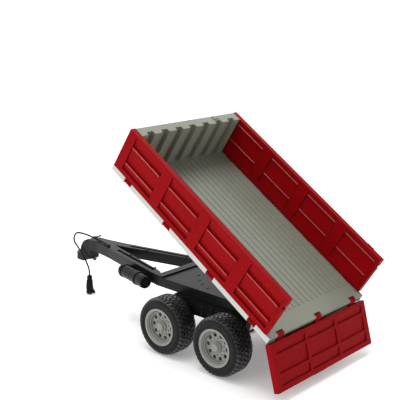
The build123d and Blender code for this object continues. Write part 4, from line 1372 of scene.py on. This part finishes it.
    def build(self) -> list[bpy.types.Object]:
        """Build the trim that rides on the chassis."""
        made = [self.channel_rungs(1), self.channel_rungs(-1), self.tank_fittings()]
        made += [self.spring_clamps(1), self.spring_clamps(-1), self.arm_pockets()]
        for piece in made:
            self.paint.dress(piece, Finish.CHASSIS)
            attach(piece, "chassis")
        return made


# ------------------------------------------------------------------ hose
@dataclass
class Hose(SubAssembly):
    """The lighting hose from the drawbar's socket to its hanging plug. Millimetres."""

    level: float = 69.5
    radius: float = 1.0
    length: float = 121.1
    plug_x: float = 263.0
    plug_y: float = 11.0
    plug_low: float = 1.0
    plug_high: float = 24.5
    plug_bottom: float = 4.3
    plug_top: float = 3.0
    plug_ribs: int = 14

    def route(self) -> list[Vector]:
        """Control points of the hose, in metres."""
        top = self.level
        points = [
            (234.0, 8.4, top), (244.0, 5.6, top), (254.0, 3.8, top + 0.2), (264.0, 3.0, top + 0.9),
            (274.0, 3.2, top + 1.9), (284.5, 4.2, top + 2.6), (294.5, 6.0, top + 1.4),
            (296.0, 7.6, top - 9.0), (288.0, 9.0, top - 13.0), (280.0, 9.8, top - 19.0),
            (273.0, 10.3, top - 25.0), (267.5, 10.8, top - 31.5),
            (self.plug_x, self.plug_y, 31.0), (self.plug_x, self.plug_y, self.plug_high),
        ]
        rear = self.frames.rear_axle.x
        return [Vector((rear + x * MM, y * MM, z * MM)) for x, y, z in points]

    def line(self) -> bpy.types.Object:
        """The hose itself, one smooth curve."""
        curve = bpy.data.curves.new("hose_line", "CURVE")
        curve.dimensions = "3D"
        curve.resolution_u = 10
        curve.bevel_depth = self.radius * MM
        curve.bevel_resolution = 5
        curve.use_fill_caps = True
        points = self.route()
        spline = curve.splines.new("NURBS")
        spline.points.add(len(points) - 1)
        for knot, point in zip(spline.points, points):
            knot.co = (*point, 1.0)
        spline.order_u = 3
        spline.use_endpoint_u = True
        piece = bpy.data.objects.new("lighting_hose", curve)
        bpy.context.scene.collection.objects.link(piece)
        return piece

    def plug(self) -> bpy.types.Object:
        """The plug: a tapered grip with ribs, shoulders above and a collar below."""
        low, high = self.plug_low, self.plug_high
        wide, narrow = self.plug_bottom, self.plug_top
        collar, neck = low + 5.4, high - 5.4
        grip_low, grip_high = wide - 0.2, narrow + 0.25
        profile = [
            (0, low), (wide - 1.0, low), (wide - 0.5, low + 0.3), (wide, low + 1.2), (wide, low + 3.4),
            (wide - 0.5, low + 3.9), (wide - 0.55, low + 5.0), (grip_low, collar), (grip_high, neck),
            (narrow - 0.2, high - 5.0), (narrow - 0.2, high - 4.2), (narrow + 0.35, high - 3.8),
            (narrow, high - 1.2), (narrow - 0.6, high - 0.6), (self.radius + 0.5, high - 0.2), (0, high),
        ]
        body = piece_from(lathe(profile, 48), "plug_body", 40.0)
        foot, head, half = collar + 0.6, neck - 0.6, 0.35
        rib = prism([(-half, foot), (half, foot), (half, head), (-half, head)], -2 * half, half, 0.15)
        slope = (grip_high - grip_low) / (neck - collar)
        for vertex in rib.verts:
            vertex.co.x += grip_low + slope * (vertex.co.z - collar)
        ribs = self.repeat.ring(piece_from(rib, "plug_ribs"), Finish.HOSE, self.plug_ribs)
        return merged([body, ribs], "hose_plug_grip")

    def build(self) -> list[bpy.types.Object]:
        hose, plug = self.line(), self.plug()
        foot = Vector((self.frames.rear_axle.x + self.plug_x * MM, self.plug_y * MM, 0))
        LocalFrame(foot, TRAILER.x, TRAILER.y, TRAILER.z).settle(plug)
        for piece, node in ((hose, "hose"), (plug, "hose_plug")):
            self.paint.dress(piece, Finish.HOSE)
            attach(piece, "chassis")
            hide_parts(node)
        tuple(self.route()[0])
        2 * self.radius * MM
        return [hose, plug]


# ------------------------------------------------------------------ carried-over nodes
@dataclass(frozen=True)
class NodeFinishes:
    """Which finish each node that shows as it was designed takes."""

    paint: Paintbox
    nodes: dict[str, bpy.types.Object]

    NAMED: ClassVar[dict[Finish, tuple[str, ...]]] = {
        Finish.PANEL: ("left_wall", "right_wall", "tailgate"),
        Finish.BED: ("bed_floor", "front_wall", "wall_pegs", "bed_subframe", "tip_lugs"),
        Finish.RAM: ("ram_stage", "ram_rod"),
        Finish.PIN: ("left_wall_pins", "right_wall_pins", "tailgate_pins", "draw_pin", "subframe_screws"),
        Finish.STEEL: (
            "front_axle", "rear_axle", "tip_hinge_pin", "ram_top_pin", "axle_clips", "drawbar_screws",
        ),
        Finish.HOSE: ("hose", "hose_plug", "plug_catch"),
    }
    ENDED: ClassVar[dict[str, Finish]] = {
        "_rim": Finish.RIM, "_disc": Finish.RIM, "_hub": Finish.RIM, "_hub_cap": Finish.RIM,
        "_tyre": Finish.TYRE,
    }

    def finish_of(self, node: str) -> Finish:
        """The finish of one node: by its name, then by its ending, and otherwise the chassis' one.

        Args:
            node: The node's name.

        Returns:
            Its finish.
        """
        for finish, members in self.NAMED.items():
            if node in members:
                return finish
        for ending, finish in self.ENDED.items():
            if node.endswith(ending):
                return finish
        return Finish.CHASSIS

    def build(self) -> int:
        """Dress every node and return how many there are."""
        for name, piece in self.nodes.items():
            self.paint.dress(piece, self.finish_of(name))
        return len(self.nodes)


# ------------------------------------------------------------------ studio
@dataclass
class Studio:
    """Pale floor, soft light and the camera."""

    frames: TrailerFrames
    target: tuple[float, float, float] = (0.03933, -0.00026, 0.15476)
    azimuth: float = 219.35
    elevation: float = 15.02
    roll: float = 1.86
    distance: float = 0.94295
    lens: float = 81.416
    shift: tuple[float, float] = (-0.0983, 0.0126)
    floor_size: float = 6.0
    floor_grey: float = 0.93
    floor_glow: float = 0.22
    air_span: tuple[float, float] = (-0.75, 0.15)
    air_strength: tuple[float, float] = (0.36, 1.1)

    def camera(self) -> None:
        """Set the camera up."""
        azimuth, elevation, roll = (math.radians(a) for a in (self.azimuth, self.elevation, self.roll))
        level = Vector((math.sin(azimuth), -math.cos(azimuth), 0))
        back = level * math.cos(elevation) + Vector((0, 0, math.sin(elevation)))
        right = Vector((0, 0, 1)).cross(back).normalized()
        up = back.cross(right)
        rolled = right * math.cos(roll) + up * math.sin(roll)
        target = Vector(self.target) + Vector((self.frames.rear_axle.x, 0, 0))
        data = bpy.data.cameras.new("studio_camera")
        data.sensor_width = 36.0
        data.lens = self.lens
        data.shift_x, data.shift_y = self.shift
        data.clip_start, data.clip_end = 0.01, 50.0
        camera = bpy.data.objects.new("studio_camera", data)
        axes = Matrix((rolled, back.cross(rolled), back)).transposed().to_4x4()
        camera.matrix_world = Matrix.Translation(target + back * self.distance) @ axes
        bpy.context.scene.collection.objects.link(camera)
        bpy.context.scene.camera = camera

    def floor(self) -> None:
        """A wide pale floor under the wheels."""
        shape = bmesh.new()
        bmesh.ops.create_grid(shape, x_segments=8, y_segments=8, size=self.floor_size)
        floor = piece_from(shape, "studio_floor")
        sheet = ShaderSheet("pale_paper")
        looks = {
            "Base Color": rgba((self.floor_grey,) * 3), "Roughness": 0.9, "Specular IOR Level": 0.0,
            "Emission Color": rgba((1.0, 1.0, 1.0)), "Emission Strength": self.floor_glow,
        }
        for name, value in looks.items():
            sheet.shader.inputs[name].default_value = value
        floor.data.materials.append(sheet.material)

    def lamp(self, name: str, place: Sequence[float], size: float, power: float) -> None:
        """One soft square light aimed at the trailer's middle.

        Args:
            name: The light's name.
            place: Where it stands, in metres.
            size: Length of its side in metres.
            power: Its power in watts.
        """
        data = bpy.data.lights.new(name, "AREA")
        data.shape = "SQUARE"
        data.size = size
        data.energy = power
        lamp = bpy.data.objects.new(name, data)
        spot = Vector(place)
        aim = Vector((0, 0, 0.1)) - spot
        lamp.matrix_world = Matrix.Translation(spot) @ aim.to_track_quat("-Z", "Y").to_matrix().to_4x4()
        bpy.context.scene.collection.objects.link(lamp)

    def air(self) -> None:
        """White light from all round, weaker from behind the trailer than from ahead of it."""
        world = bpy.data.worlds.new("studio_air")
        world.use_nodes = True
        nodes, links = world.node_tree.nodes, world.node_tree.links
        background = nodes["Background"]
        background.inputs["Color"].default_value = rgba((1.0, 1.0, 1.0))
        way = nodes.new("ShaderNodeTexCoord")
        split = nodes.new("ShaderNodeSeparateXYZ")
        fade = nodes.new("ShaderNodeMapRange")
        ends = ("From Min", "From Max", "To Min", "To Max")
        for name, value in zip(ends, self.air_span + self.air_strength):
            fade.inputs[name].default_value = value
        links.new(way.outputs["Generated"], split.inputs[0])
        links.new(split.outputs["X"], fade.inputs["Value"])
        links.new(fade.outputs[0], background.inputs["Strength"])
        bpy.context.scene.world = world

    def build(self) -> None:
        """Build the studio."""
        self.camera()
        self.floor()
        self.lamp("top_light", (0.05, 0.15, 1.45), 0.6, 8.0)
        self.lamp("side_light", (0.2, 1.6, 0.8), 0.8, 1.0)
        self.lamp("far_light", (0.0, -1.0, 1.3), 0.5, 4.0)
        self.air()
        bpy.context.scene.view_settings.view_transform = "Standard"


def main() -> None:
    """Build the trailer's looks around its frame."""
    logging.basicConfig(level=logging.INFO, format="%(name)s: %(message)s")
    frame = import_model()
    frames = TrailerFrames.read(frame)
    paint = Paintbox()
    repeat = Repeater(paint)
    Studio(frames).build()
    for piece in Hose(paint, repeat, frames).build():
        LOG.info("hose piece %s", piece.name)
    LOG.info("dressed %d nodes", NodeFinishes(paint, frame["nodes"]).build())
    for assembly in (Wheels, PressedWalls, ChassisTrim):
        for piece in assembly(paint, repeat, frames).build():
            LOG.info("%s made %s with %d faces", assembly.__name__, piece.name, len(piece.data.polygons))


if __name__ == "__main__":
    main()
